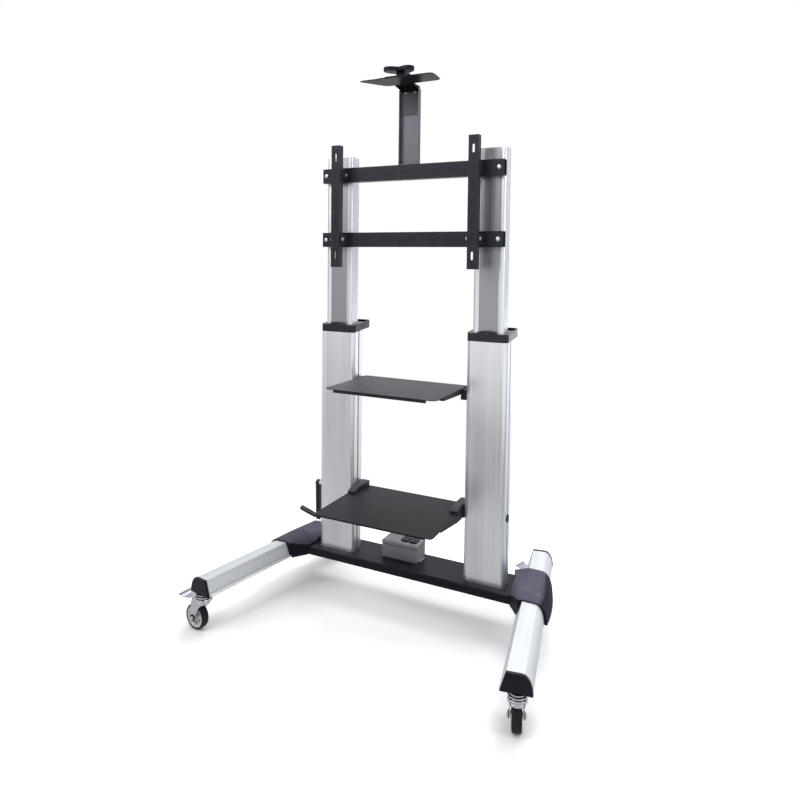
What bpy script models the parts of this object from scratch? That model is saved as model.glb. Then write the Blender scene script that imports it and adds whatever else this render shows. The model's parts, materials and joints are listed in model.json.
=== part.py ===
"""Mobile screen stand on four casters.

Two aluminium lifting columns stand on a black cross beam between two splayed legs.  A hand crank on the
left column drives a lead screw in each column and so lifts the screen mount.  All lengths are in metres,
+Z is up, the front of the stand faces -Y, and X = 0 of the empty "stand" is the plane between the columns.
"""
import math

import bmesh
import bpy
from mathutils import Matrix, Vector

# general
GAP = 0.0003               # air gap between pieces that touch
ORIGIN_X = 0.03106         # shifts the plane of symmetry off the middle of the bounding box
ORIGIN_Y = 0.07668         # distance from the middle of the bounding box to the columns' front faces
MM = 0.001

# base beam
BEAM_FRONT = -0.031
BEAM_BACK = 0.142
BEAM_TOP = 0.180
BEAM_H = 0.035
BEAM_WALL = 0.003
BEAM_EDGE = 0.003

# legs
LEG_X = 0.556              # centre line of a leg at LEG_Y
LEG_Y = -0.15
LEG_ANGLE = math.radians(9.2)
LEG_FRONT = -0.516         # front end of the bar
LEG_REAR = 0.328           # rear end of the bar
LEG_TOP = 0.212
LEG_BOTTOM = 0.151
LEG_FLAT = 0.048
LEG_IN = 0.0425            # foot of the inner slope from the centre line
LEG_OUT = 0.056            # foot of the outer curve from the centre line
LEG_WALL = 0.0035
LEG_LIP = 0.003
LEG_LIP_H = 0.005
CAP_T = 0.012
CAP_OVER = 0.0020

# corner covers
COVER_TOP = 0.2175
COVER_IN = 0.458           # inner edge on the beam
COVER_STEP = 0.0075        # height of the inner edge over the beam
COVER_BACK_IN = 0.106      # where the back face meets the inner edge
COVER_FRONT = -0.106
COVER_BACK = 0.1475
COVER_SKIRT = 0.145
COVER_BULGE = 0.018
COVER_SKIN = 0.005
COVER_GUSSET_X = 0.503
COVER_GUSSET_Y = -0.100
COVER_STATIONS = 11

# casters
WHEEL_R = 0.050
TYRE_W = 0.032
TYRE_T = 0.0078
CORE_HUB_W = 0.039
CORE_RIM_W = 0.027
AXLE_R = 0.004
TRAIL = 0.035
HEAD_R = 0.030
FORK_T = 0.003
FORK_GAP = 0.0410
CROWN_TOP = 0.1335
CUP_R = 0.0305             # bearing cup under the fork's crown
CUP_LOW = 0.107
PEDAL_W = 0.050
PEDAL_NECK = 0.036         # where it passes between the fork's cheeks
PEDAL_REACH = 0.108
CASTER_INSET = 0.022       # swivel axis from the outer face of the end cap
CASTER_SIDE = 0.009        # swivel axis outward of the leg's centre line
CASTER_TURN = {
    "front_left": math.radians(174.0),
    "front_right": math.radians(107.0),
    "rear_left": math.radians(200.0),
    "rear_right": math.radians(160.0),
}
WHEEL_SEG = 28

# outer columns
COL_X = 0.3366             # centre of a column
COL_W = 0.165
COL_D = 0.084
COL_R = 0.015
COL_WALL = 0.004
COL_TOP = 1.135
SLOT_OPEN = 0.008
SLOT_LIP = 0.003
SLOT_WIDE = 0.014
SLOT_DEEP = 0.010
SLOT_WALL = 0.0025
FLUTE_X = 0.054
FLUTE_W = 0.0022
FLUTE_DEEP = 0.0008

# inner columns
INNER_W = 0.125
INNER_D = 0.064
INNER_R = 0.010
INNER_WALL = 0.0045
PANEL_W = 0.078
PANEL_DEEP = 0.004
GROOVE_W = 0.0035          # groove down the middle of each side
GROOVE_DEEP = 0.0018
INNER_LOW = 0.740
INNER_TOP = 1.880
NUT_H = 0.045

# collars
COLLAR_H = 0.032
COLLAR_TOP = COL_TOP + COLLAR_H
COLLAR_RISE = 0.10         # the collar climbs this much per metre towards the back
COLLAR_OVER = 0.0015
COLLAR_BACK = 0.146
COLLAR_R = 0.017
COLLAR_FIT = 0.0005
LOOP_WALL = 0.006
CROWN_W = 0.092
CROWN_H = 0.011

# lift drive
SCREW_R = 0.008
SCREW_FIT = 0.0004
SCREW_TOP = COL_TOP - 0.025
CRANK_Z = 0.445
CRANK_SHAFT_R = 0.007
GEAR_BIG = 0.022
GEAR_BIG_FACE = 0.009
GEAR_SMALL = 0.0095
GEAR_SMALL_FACE = 0.004
GEAR_PLAY = 0.0006
CROSS_Z = 0.1625
CROSS_R = 0.005
SHAFT_HOLE = 0.011
ARM_OFF = 0.026            # inner face of the crank arm from the column
ARM_T = 0.018
ARM_LEN = 0.158
ARM_R_TOP = 0.014
ARM_R_LOW = 0.0105
GRIP_R = 0.0105
GRIP_LEN = 0.086
GRIP_TILT = math.radians(16.0)
GRIP_PIN_R = 0.003
PLUG_R = 0.016
PLUG_T = 0.004

# shelves
SHELF_T = 0.003
UPPER_Z = 0.9445
UPPER_CLEAR = 0.0176       # plate to column
UPPER_HALF = COL_X - COL_W / 2 - UPPER_CLEAR
UPPER_FRONT = -0.260
UPPER_BACK = 0.075
UPPER_ROUND = 0.022
UPPER_FLANGE = 0.011
LOWER_Z = 0.461
LOWER_CLEAR = 0.0046
LOWER_HALF = COL_X - COL_W / 2 - LOWER_CLEAR
LOWER_FRONT = -0.308
LOWER_BACK = 0.078
LOWER_ROUND = 0.016
LOWER_NECK = LOWER_HALF - 0.0365
LOWER_NECK_Y = -0.052
ARM_PLATE_T = 0.020
CLAMP_FRONT = 0.006
CLAMP_BACK = 0.078

# power box
BOX_LEFT = -0.127
BOX_RIGHT = 0.034
BOX_FRONT = 0.038
BOX_BACK = 0.128
BOX_SEAM = 0.2376
BOX_TOP = 0.2525
BOX_OVER = 0.0015
OUTLET_W = 0.034
OUTLET_D = 0.046
OUTLET_H = 0.006
OUTLET_X = (-0.034, 0.005)
OUTLET_Y = 0.082

# screen mount
RAIL_HALF = 0.400
RAIL_D = 0.032
RAIL_H = 0.060
RAIL_WALL = 0.003
RAIL_HIGH_Z = 1.800
RAIL_LOW_Z = 1.530
HOLE_HALF = 0.300          # half the width of the screen's hole pattern
HOLE_HIGH = 0.200          # half its height
SCREEN_Z = 1.665
SCREEN_BACK = -0.090
VARM_W = 0.040
VARM_D = 0.028
VARM_LEN = 0.500
VARM_WALL = 0.003
EAR_T = 0.004
EAR_H = 0.044
PIVOT_R = 0.004
PIVOT_FIT = 0.0004

# camera post and shelf
POST_W = 0.087
POST_D = 0.022
POST_SET = 0.0023          # front of the post behind the front of the rail
POST_WALL = 0.003
POST_LOW = RAIL_HIGH_Z + RAIL_H / 2 + GAP
POST_TOP = 2.128
CAM_Z = 2.139
CAM_T = 0.003
CAM_RIM = 0.006
CAM_PLAN = ((0.149, -0.160), (0.160, -0.152), (0.162, -0.130), (0.157, -0.074), (0.146, -0.061),
            (-0.070, -0.061), (-0.083, -0.070), (-0.145, -0.156), (-0.138, -0.164))
CAM_FRONT = -0.162
CAM_BACK = -0.061
CAM_TONGUE = 0.110
CAM_ROOT_H = 0.015
CAM_PAD = 0.0015           # raised field under the knob
CAM_PAD_X = (-0.065, 0.076)
CAM_LIP_X = (-0.036, 0.072)
CAM_LIP_H = 0.004
KNOB_X = 0.0045
KNOB_Y = -0.105
KNOB_R = 0.067
KNOB_BASE_R = 0.036
KNOB_STEM_R = 0.016
KNOB_LOBES = 3
KNOB_TURN = math.radians(20.0)
KNOB_LOW = 0.030           # underside of the star over the shelf
KNOB_HIGH = 0.045


# scene and helpers
for old in list(bpy.data.objects):
    bpy.data.objects.remove(old, do_unlink=True)

COLLECTION = bpy.context.scene.collection
MATERIALS = {}


def material(name, colour, rough, metal):
    mat = bpy.data.materials.new(name)
    mat.use_nodes = True
    shader = mat.node_tree.nodes["Principled BSDF"]
    shader.inputs["Base Color"].default_value = (colour[0], colour[1], colour[2], 1.0)
    shader.inputs["Roughness"].default_value = rough
    shader.inputs["Metallic"].default_value = metal
    MATERIALS[name] = mat


material("anodised", (0.74, 0.75, 0.77), 0.34, 1.0)
material("anodised_grey", (0.36, 0.36, 0.39), 0.40, 1.0)
material("black_paint", (0.030, 0.031, 0.040), 0.42, 0.0)
material("black_plastic", (0.022, 0.022, 0.026), 0.50, 0.0)
material("zinc", (0.66, 0.68, 0.72), 0.28, 1.0)
material("wheel_core", (0.78, 0.78, 0.76), 0.45, 0.0)
material("tyre", (0.030, 0.028, 0.028), 0.75, 0.0)
material("steel", (0.50, 0.50, 0.52), 0.35, 1.0)
material("box_grey", (0.30, 0.30, 0.32), 0.45, 0.6)
material("post_grey", (0.16, 0.16, 0.18), 0.45, 0.3)


def empty(name, location, parent):
    obj = bpy.data.objects.new(name, None)
    obj.location = location
    obj.parent = parent
    COLLECTION.objects.link(obj)
    return obj


STAND = empty("stand", (ORIGIN_X, ORIGIN_Y, 0.0), None)


def solid(name, bm, mat, at=(0.0, 0.0, 0.0), parent=None, guide=False):
    """Make an object of a bmesh whose coordinates are those of the parent; its origin goes to at."""
    bmesh.ops.recalc_face_normals(bm, faces=bm.faces)
    bmesh.ops.translate(bm, verts=bm.verts, vec=-Vector(at))
    mesh = bpy.data.meshes.new(name)
    bm.to_mesh(mesh)
    bm.free()
    mesh.shade_smooth()
    mesh.set_sharp_from_angle(angle=math.radians(35.0))
    obj = bpy.data.objects.new(name, mesh)
    obj.location = at
    obj.parent = parent or STAND
    COLLECTION.objects.link(obj)
    if guide:
        obj.hide_render = True
        obj.display_type = "WIRE"
    else:
        mesh.materials.append(MATERIALS[mat])
    return obj


def place(axis, u, v, w):
    if axis == "X":
        return (w, u, v)
    if axis == "Y":
        return (u, w, v)
    return (u, v, w)


def prism_mesh(loops, low, high, axis="Z"):
    """Extrude a flat outline, with holes if there is more than one loop, along an axis."""
    bm = bmesh.new()
    edges = []
    for loop in loops:
        verts = [bm.verts.new(place(axis, u, v, low)) for u, v in loop]
        for a, b in zip(verts, verts[1:] + verts[:1]):
            edges.append(bm.edges.new((a, b)))
    if len(loops) == 1:
        bm.faces.new(list(bm.verts))
    else:
        bmesh.ops.triangle_fill(bm, use_beauty=True, edges=edges)
    got = bmesh.ops.extrude_face_region(bm, geom=list(bm.faces))
    moved = [g for g in got["geom"] if isinstance(g, bmesh.types.BMVert)]
    bmesh.ops.translate(bm, verts=moved, vec=place(axis, 0.0, 0.0, high - low))
    return bm


def prism(name, loops, low, high, mat, axis="Z", at=(0.0, 0.0, 0.0), parent=None, guide=False):
    return solid(name, prism_mesh(loops, low, high, axis), mat, at, parent, guide)


def turned_mesh(profile, segments, axis="Z", centre=(0.0, 0.0, 0.0), start=0.0):
    """Turn a profile of (radius, height) points; it is a ring unless it begins and ends on the axis."""
    bm = bmesh.new()
    rings = []
    for radius, height in profile:
        if radius <= 0.0:
            p = Vector(place(axis, 0.0, 0.0, height)) + Vector(centre)
            rings.append([bm.verts.new(p)])
            continue
        ring = []
        for k in range(segments):
            a = start + 2.0 * math.pi * k / segments
            p = Vector(place(axis, radius * math.cos(a), radius * math.sin(a), height))
            ring.append(bm.verts.new(p + Vector(centre)))
        rings.append(ring)
    closed = profile[0][0] > 0.0
    pairs = list(zip(rings, rings[1:]))
    if closed:
        pairs.append((rings[-1], rings[0]))
    for lower, upper in pairs:
        for k in range(segments):
            n = (k + 1) % segments
            quad = [lower[k % len(lower)], lower[n % len(lower)]]
            quad += [upper[n % len(upper)], upper[k % len(upper)]]
            face = []
            for vert in quad:
                if vert not in face:
                    face.append(vert)
            if len(face) > 2:
                bm.faces.new(face)
    return bm


def turned(name, profile, segments, mat, axis="Z", centre=(0.0, 0.0, 0.0), start=0.0, parent=None,
           guide=False):
    bm = turned_mesh(profile, segments, axis, centre, start)
    return solid(name, bm, mat, centre, parent, guide)


def boolean(obj, other, kind):
    mod = obj.modifiers.new(kind.lower(), "BOOLEAN")
    mod.operation = kind
    mod.solver = "EXACT"
    mod.object = other


def cut(obj, *others):
    for other in others:
        boolean(obj, other, "DIFFERENCE")


def join(obj, *others):
    for other in others:
        boolean(obj, other, "UNION")


def box_loop(u0, u1, v0, v1):
    return [(u0, v0), (u1, v0), (u1, v1), (u0, v1)]


def block(name, x, y, z, mat="steel", guide=True, parent=None, at=(0.0, 0.0, 0.0)):
    return prism(name, [box_loop(x[0], x[1], y[0], y[1])], z[0], z[1], mat, "Z", at, parent, guide)


def round_box(cu, cv, w, h, r, n=4):
    pts = []
    corners = ((1, -1, -90.0), (1, 1, 0.0), (-1, 1, 90.0), (-1, -1, 180.0))
    for su, sv, first in corners:
        for k in range(n + 1):
            a = math.radians(first + 90.0 * k / n)
            pts.append((cu + su * (w / 2 - r) + r * math.cos(a), cv + sv * (h / 2 - r) + r * math.sin(a)))
    return pts


def inset(points, d):
    """Move each edge of a convex counter-clockwise outline inward by d."""
    out = []
    count = len(points)
    for i in range(count):
        p0 = Vector(points[i - 1])
        p1 = Vector(points[i])
        p2 = Vector(points[(i + 1) % count])
        e1 = (p1 - p0).normalized()
        e2 = (p2 - p1).normalized()
        n1 = Vector((-e1.y, e1.x))
        n2 = Vector((-e2.y, e2.x))
        n = (n1 + n2).normalized()
        out.append(tuple(p1 + n * (d / max(0.3, n.dot(n1)))))
    return out


def mirror_x(points):
    return [(-u, v) for u, v in reversed(points)]


# base beam
def side_name(side):
    return "right" if side > 0 else "left"


leg_foot = (LEG_IN + LEG_LIP + GAP) / math.cos(LEG_ANGLE)
beam_end = LEG_X - (BEAM_BACK - LEG_Y) * math.tan(LEG_ANGLE) - leg_foot
BEAM_LOW = BEAM_TOP - BEAM_H
top = [
    (BEAM_FRONT, BEAM_LOW),
    (BEAM_FRONT + BEAM_WALL, BEAM_LOW),
    (BEAM_FRONT + BEAM_WALL, BEAM_TOP - BEAM_WALL),
    (BEAM_BACK - BEAM_WALL, BEAM_TOP - BEAM_WALL),
    (BEAM_BACK - BEAM_WALL, BEAM_LOW),
    (BEAM_BACK, BEAM_LOW),
    (BEAM_BACK, BEAM_TOP - BEAM_EDGE),
    (BEAM_BACK - BEAM_EDGE, BEAM_TOP),
    (BEAM_FRONT + BEAM_EDGE, BEAM_TOP),
    (BEAM_FRONT, BEAM_TOP - BEAM_EDGE),
]
beam = prism("base_beam", [top], -beam_end, beam_end, "black_paint", "X")
COL_MID = COL_D / 2
for side in (-1, 1):
    hole = turned(
        "guide_beam_hole_" + side_name(side),
        [(0.0, BEAM_LOW), (GEAR_SMALL + 0.001, BEAM_LOW), (GEAR_SMALL + 0.001, BEAM_TOP + 0.01),
         (0.0, BEAM_TOP + 0.01)],
        20, "steel", "Z", (side * COL_X, COL_MID, 0.0), guide=True)
    cut(beam, hole)


# legs, caps and corner covers
def leg_profile(grow=0.0, down=0.0):
    """Leg section as (outward, up) points; grow makes it larger all round, down lengthens it below."""
    low = LEG_BOTTOM - down
    high = LEG_TOP + grow
    half = LEG_FLAT / 2 + grow * 0.5
    lip = LEG_LIP if grow <= GAP else 0.0
    pts = [(-LEG_IN - lip - grow, low), (LEG_OUT + grow, low)]
    if down > 0.0:
        pts.append((LEG_OUT + grow, LEG_BOTTOM))
    for k in range(1, 7):
        a = math.radians(90.0 - 15.0 * k)
        run = LEG_OUT + grow - half
        pts.append((half + run * math.sin(a), LEG_BOTTOM + (high - LEG_BOTTOM) * math.cos(a)))
    pts.append((-half, high))
    if lip:
        pts.append((-LEG_IN - grow + 0.0005, LEG_BOTTOM + LEG_LIP_H + 0.002 + grow))
        pts.append((-LEG_IN - lip - grow, LEG_BOTTOM + LEG_LIP_H + grow))
    return pts


def leg_core():
    pts = [(-LEG_IN, LEG_BOTTOM), (LEG_OUT, LEG_BOTTOM)]
    for k in range(1, 7):
        a = math.radians(90.0 - 15.0 * k)
        pts.append((LEG_FLAT / 2 + (LEG_OUT - LEG_FLAT / 2) * math.sin(a),
                    LEG_BOTTOM + (LEG_TOP - LEG_BOTTOM) * math.cos(a)))
    pts.append((-LEG_FLAT / 2, LEG_TOP))
    return inset(pts, LEG_WALL)


def leg_x(y):
    return LEG_X - (y - LEG_Y) * math.tan(LEG_ANGLE)


def leg_bm(side, loops, y0, y1):
    """Extrude a leg section between two stations; t runs outward, the ends are square to the leg."""
    length = (y1 - y0) / math.cos(LEG_ANGLE)
    flat = [[(side * t, z) for t, z in loop] for loop in loops]
    bm = prism_mesh(flat, 0.0, length, "Y")
    turn = Matrix.Rotation(side * LEG_ANGLE, 4, "Z")
    shift = Matrix.Translation((side * leg_x(y0), y0, 0.0))
    bmesh.ops.transform(bm, matrix=shift @ turn, verts=bm.verts)
    return bm


def leg_point(y, t=0.0):
    """Plan position of a point beside the leg's centre line on the right."""
    return (leg_x(y) + t * math.cos(LEG_ANGLE), y + t * math.sin(LEG_ANGLE))


cap_y = (CAP_T + GAP) * math.cos(LEG_ANGLE)
for side in (-1, 1):
    tag = side_name(side)
    solid("leg_bar_" + tag, leg_bm(side, [leg_profile(), leg_core()], LEG_FRONT, LEG_REAR), "anodised")
    front = leg_bm(side, [leg_profile(CAP_OVER)], LEG_FRONT - cap_y, LEG_FRONT - GAP)
    rear = leg_bm(side, [leg_profile(CAP_OVER)], LEG_REAR + GAP, LEG_REAR + cap_y)
    for bm, where in ((front, "front"), (rear, "rear")):
        cap = solid("leg_cap_%s_%s" % (where, tag), bm, "black_plastic")
        edge = cap.modifiers.new("edge", "BEVEL")
        edge.width = 0.0015
        edge.segments = 1
        edge.limit_method = "ANGLE"
        edge.angle_limit = math.radians(50.0)


def cover_section(y):
    c = leg_x(y)
    if y < BEAM_FRONT - 0.006:
        f = (BEAM_FRONT - 0.006 - y) / (BEAM_FRONT - 0.006 - COVER_GUSSET_Y)
        x_in = COVER_IN + (COVER_GUSSET_X - COVER_IN) * f
        z_in = BEAM_TOP + COVER_STEP + (COVER_TOP - BEAM_TOP - COVER_STEP) * min(1.0, f) * 0.8
    else:
        f = (y - BEAM_FRONT) / (COVER_BACK - BEAM_FRONT)
        x_in = COVER_IN - 0.010 * math.sin(math.pi * max(0.0, min(1.0, f)))
        up = max(0.0, min(1.0, (f - 0.30) / 0.50))
        rise = COVER_TOP - 0.006 - BEAM_TOP - COVER_STEP
        z_in = BEAM_TOP + COVER_STEP + rise * up * up * (3.0 - 2.0 * up)
    f = (y - COVER_FRONT) / (COVER_BACK - COVER_FRONT)
    bump = COVER_BULGE * math.sin(math.pi * (0.12 + 0.76 * f)) ** 0.8
    half = LEG_FLAT / 2 + 0.002
    x_out = c + LEG_OUT + COVER_SKIN + bump
    pts = [(x_in, COVER_SKIRT), (x_in, z_in), (c - half, COVER_TOP)]
    for k in range(7):
        a = math.radians(15.0 * k)
        run = x_out - (c + half)
        pts.append((c + half + run * math.sin(a), LEG_BOTTOM + (COVER_TOP - LEG_BOTTOM) * math.cos(a)))
    pts.append((x_out, COVER_SKIRT))
    return pts


def cover_bm(side):
    stations = [COVER_FRONT, COVER_GUSSET_Y, -0.075, -0.052, BEAM_FRONT - 0.006]
    stations += [BEAM_FRONT - 0.006 + (COVER_BACK - BEAM_FRONT + 0.006) * k / 7.0 for k in range(1, 8)]
    bm = bmesh.new()
    rings = []
    for y in stations:
        back = max(0.0, (y - BEAM_FRONT) / (COVER_BACK - BEAM_FRONT))
        pull = (COVER_BACK - COVER_BACK_IN) * back
        ring = []
        for n, (x, z) in enumerate(cover_section(y)):
            ring.append(bm.verts.new((side * x, y - (pull if n < 2 else 0.0), z)))
        rings.append(ring)
    for a, b in zip(rings, rings[1:]):
        n = len(a)
        for i in range(n):
            j = (i + 1) % n
            bm.faces.new((a[i], a[j], b[j], b[i]))
    bm.faces.new(rings[0])
    bm.faces.new(rings[-1])
    bmesh.ops.triangulate(bm, faces=bm.faces)
    return bm


for side in (-1, 1):
    tag = side_name(side)
    cover = solid("corner_cover_" + tag, cover_bm(side), "black_plastic")
    tunnel = solid(
        "guide_cover_leg_" + tag,
        leg_bm(side, [leg_profile(GAP, 0.02)], COVER_FRONT - 0.03, COVER_BACK + 0.03),
        "steel", guide=True)
    notch = block(
        "guide_cover_beam_" + tag,
        sorted((side * 0.40, side * (LEG_X - 0.04))), (BEAM_FRONT - GAP, BEAM_BACK + GAP),
        (BEAM_LOW - 0.02, BEAM_TOP + GAP))
    inner = block(
        "guide_cover_void_" + tag,
        sorted((side * (COVER_GUSSET_X + 0.004), side * (LEG_X - 0.005))),
        (COVER_FRONT - 0.01, COVER_BACK + 0.01), (COVER_SKIRT - 0.02, LEG_BOTTOM + LEG_LIP_H + 0.004))
    cut(cover, tunnel, notch, inner)


# outer columns
def slot_side(sign, half, reverse):
    """Points of one T-slot on the side at sign * half, listed from -Y to +Y."""
    o = SLOT_OPEN / 2
    w = SLOT_WIDE / 2
    pts = [
        (sign * half, COL_MID - o),
        (sign * (half - SLOT_LIP), COL_MID - o),
        (sign * (half - SLOT_LIP), COL_MID - w),
        (sign * (half - SLOT_DEEP), COL_MID - w),
        (sign * (half - SLOT_DEEP), COL_MID + w),
        (sign * (half - SLOT_LIP), COL_MID + w),
        (sign * (half - SLOT_LIP), COL_MID + o),
        (sign * half, COL_MID + o),
    ]
    return list(reversed(pts)) if reverse else pts


def flute(u, v, inward):
    return [(u, v), (u, v + inward * FLUTE_DEEP), (u + FLUTE_W, v + inward * FLUTE_DEEP), (u + FLUTE_W, v)]


def outer_outline():
    half = COL_W / 2
    pts = []
    n = 4
    for k in range(n + 1):
        a = math.radians(-90.0 + 90.0 * k / n)
        pts.append((half - COL_R + COL_R * math.cos(a), COL_R + COL_R * math.sin(a)))
    pts += slot_side(1, half, False)
    for k in range(n + 1):
        a = math.radians(90.0 * k / n)
        pts.append((half - COL_R + COL_R * math.cos(a), COL_D - COL_R + COL_R * math.sin(a)))
    for k in range(n + 1):
        a = math.radians(90.0 + 90.0 * k / n)
        pts.append((-half + COL_R + COL_R * math.cos(a), COL_D - COL_R + COL_R * math.sin(a)))
    pts += slot_side(-1, half, True)
    for k in range(n + 1):
        a = math.radians(180.0 + 90.0 * k / n)
        pts.append((-half + COL_R + COL_R * math.cos(a), COL_R + COL_R * math.sin(a)))
    for u in (-FLUTE_X - FLUTE_W, FLUTE_X):
        pts += flute(u, 0.0, 1)
    return pts


def cavity_outline():
    x1 = COL_W / 2 - COL_WALL
    x0 = COL_W / 2 - SLOT_DEEP - SLOT_WALL
    w = SLOT_WIDE / 2 + SLOT_WALL
    y0 = COL_WALL
    y1 = COL_D - COL_WALL
    half = [(x1, y0), (x1, COL_MID - w), (x0, COL_MID - w), (x0, COL_MID + w), (x1, COL_MID + w), (x1, y1)]
    return half + [(-u, v) for u, v in reversed(half)]


def shifted(points, du, dv=0.0):
    return [(u + du, v + dv) for u, v in points]


def climb(obj, above):
    """Slopes everything over a height upward to the back, as the collars slope."""
    for v in obj.data.vertices:
        if v.co.z > above:
            v.co.z += COLLAR_RISE * v.co.y


for side in (-1, 1):
    tag = side_name(side)
    cx = side * COL_X
    column = prism(
        "column_outer_" + tag,
        [shifted(outer_outline(), cx), shifted(cavity_outline(), cx)],
        BEAM_TOP + GAP, COL_TOP, "anodised")
    climb(column, COL_TOP - 0.01)
    outer_wall = side * (COL_X + COL_W / 2)
    drill = turned(
        "guide_column_hole_" + tag,
        [(0.0, -0.02), (SHAFT_HOLE, -0.02), (SHAFT_HOLE, 0.02), (0.0, 0.02)],
        20, "steel", "X", (outer_wall, COL_MID, CRANK_Z), guide=True)
    cut(column, drill)


# inner columns and collars
def inner_outline(g=0.0):
    hw = INNER_W / 2 + g
    hd = INNER_D / 2 + g
    hp = PANEL_W / 2 - g
    r = INNER_R + g
    pts = []
    for su, sv, first in ((1, -1, -90.0), (1, 1, 0.0), (-1, 1, 90.0), (-1, -1, 180.0)):
        corner = []
        for k in range(4):
            a = math.radians(first + 30.0 * k)
            corner.append((su * (hw - r) + r * math.cos(a), sv * (hd - r) + r * math.sin(a)))
        pts += corner
        if first == -90.0 and g == 0.0:
            o = GROOVE_W / 2
            pts += [(hw, -o), (hw - GROOVE_DEEP, -o), (hw - GROOVE_DEEP, o), (hw, o)]
        if first == 90.0 and g == 0.0:
            o = GROOVE_W / 2
            pts += [(-hw, o), (-hw + GROOVE_DEEP, o), (-hw + GROOVE_DEEP, -o), (-hw, -o)]
        if first == 0.0:
            pts += [(hp, hd), (hp, hd - PANEL_DEEP), (-hp, hd - PANEL_DEEP), (-hp, hd)]
        if first == 180.0:
            pts += [(-hp, -hd), (-hp, -hd + PANEL_DEEP), (hp, -hd + PANEL_DEEP), (hp, -hd)]
    return shifted(pts, 0.0, COL_MID)


core_half = INNER_D / 2 - PANEL_DEEP - INNER_WALL
core = box_loop(-INNER_W / 2 + INNER_WALL, INNER_W / 2 - INNER_WALL, COL_MID - core_half, COL_MID + core_half)
for side in (-1, 1):
    tag = side_name(side)
    cx = side * COL_X
    inner_col = prism(
        "column_inner_" + tag,
        [shifted(inner_outline(), cx)], INNER_LOW, INNER_TOP, "anodised")
    hollow = prism(
        "guide_inner_core_" + tag, [shifted(core, cx)], INNER_LOW + NUT_H, INNER_TOP + 0.01, "steel",
        guide=True)
    bore = turned(
        "guide_nut_bore_" + tag,
        [(0.0, INNER_LOW - 0.01), (SCREW_R + SCREW_FIT, INNER_LOW - 0.01),
         (SCREW_R + SCREW_FIT, INNER_LOW + NUT_H + 0.01), (0.0, INNER_LOW + NUT_H + 0.01)],
        20, "steel", "Z", (cx, COL_MID, 0.0), guide=True)
    cut(inner_col, hollow, bore)

    ow = COL_W + 2 * COLLAR_OVER
    depth = COLLAR_BACK + COLLAR_OVER
    outline = round_box(0.0, COLLAR_BACK - depth / 2, ow, depth, COLLAR_R)
    loop_front = COL_D + COLLAR_OVER + 0.004
    loop = round_box(0.0, (loop_front + COLLAR_BACK - LOOP_WALL) / 2, ow - 2 * LOOP_WALL,
                     COLLAR_BACK - LOOP_WALL - loop_front, 0.008, 3)
    collar = prism(
        "column_collar_" + tag,
        [shifted(outline, cx), shifted(inner_outline(COLLAR_FIT), cx), shifted(loop, cx)],
        COL_TOP + GAP, COLLAR_TOP, "black_plastic")
    arch = []
    for k in range(9):
        a = math.pi * k / 8
        crest = COLLAR_TOP - 0.004 + (CROWN_H + 0.004) * math.sin(a) ** 0.8
        arch.append((cx + CROWN_W / 2 * math.cos(a), crest))
    arch += [(cx - CROWN_W / 2, COLLAR_TOP - 0.012), (cx + CROWN_W / 2, COLLAR_TOP - 0.012)]
    front_of_panel = COL_MID - INNER_D / 2 - COLLAR_FIT
    brow = prism(
        "guide_collar_brow_" + tag, [arch], 0.0002 - COLLAR_OVER, front_of_panel, "steel", "Y", guide=True)
    join(collar, brow)
    climb(collar, COL_TOP)


# lift drive
def cone_gear(r_big, face, reach, hub_r, sign=1):
    """Profile of a plain cone gear whose pitch cone has its tip at height 0; it lies on the +height side."""
    r_small = r_big - face
    pts = [(hub_r, r_small + GEAR_PLAY), (r_small, r_small + GEAR_PLAY), (r_big, r_big + GEAR_PLAY)]
    pts += [(r_big, r_big + reach), (hub_r, r_big + reach)]
    return [(r, sign * h) for r, h in pts]


for side in (-1, 1):
    tag = side_name(side)
    low = cone_gear(GEAR_SMALL, GEAR_SMALL_FACE, 0.003, 0.0)
    profile = [(0.0, CROSS_Z + low[0][1])] + [(r, CROSS_Z + h) for r, h in low[1:3]]
    profile += [(GEAR_SMALL, CROSS_Z + low[3][1]), (SCREW_R, CROSS_Z + low[3][1])]
    if side < 0:
        big = cone_gear(GEAR_BIG, GEAR_BIG_FACE, 0.006, SCREW_R)
        profile += [(r, CRANK_Z + h) for r, h in big]
    profile += [(SCREW_R, SCREW_TOP), (0.0, SCREW_TOP)]
    turned("lead_screw_" + tag, profile, 20, "steel", "Z", (side * COL_X, COL_MID, 0.0))

inner_x = COL_X - GEAR_SMALL - GEAR_PLAY
r_small = GEAR_SMALL - GEAR_SMALL_FACE
half_shaft = [
    (r_small, COL_X - r_small - GEAR_PLAY),
    (GEAR_SMALL, inner_x),
    (GEAR_SMALL, inner_x - 0.003),
    (CROSS_R, inner_x - 0.003),
]
profile = [(0.0, half_shaft[0][1])] + half_shaft
profile += [(r, -h) for r, h in reversed(half_shaft)] + [(0.0, -half_shaft[0][1])]
turned("cross_shaft", profile, 16, "steel", "X", (0.0, COL_MID, CROSS_Z))

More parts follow.
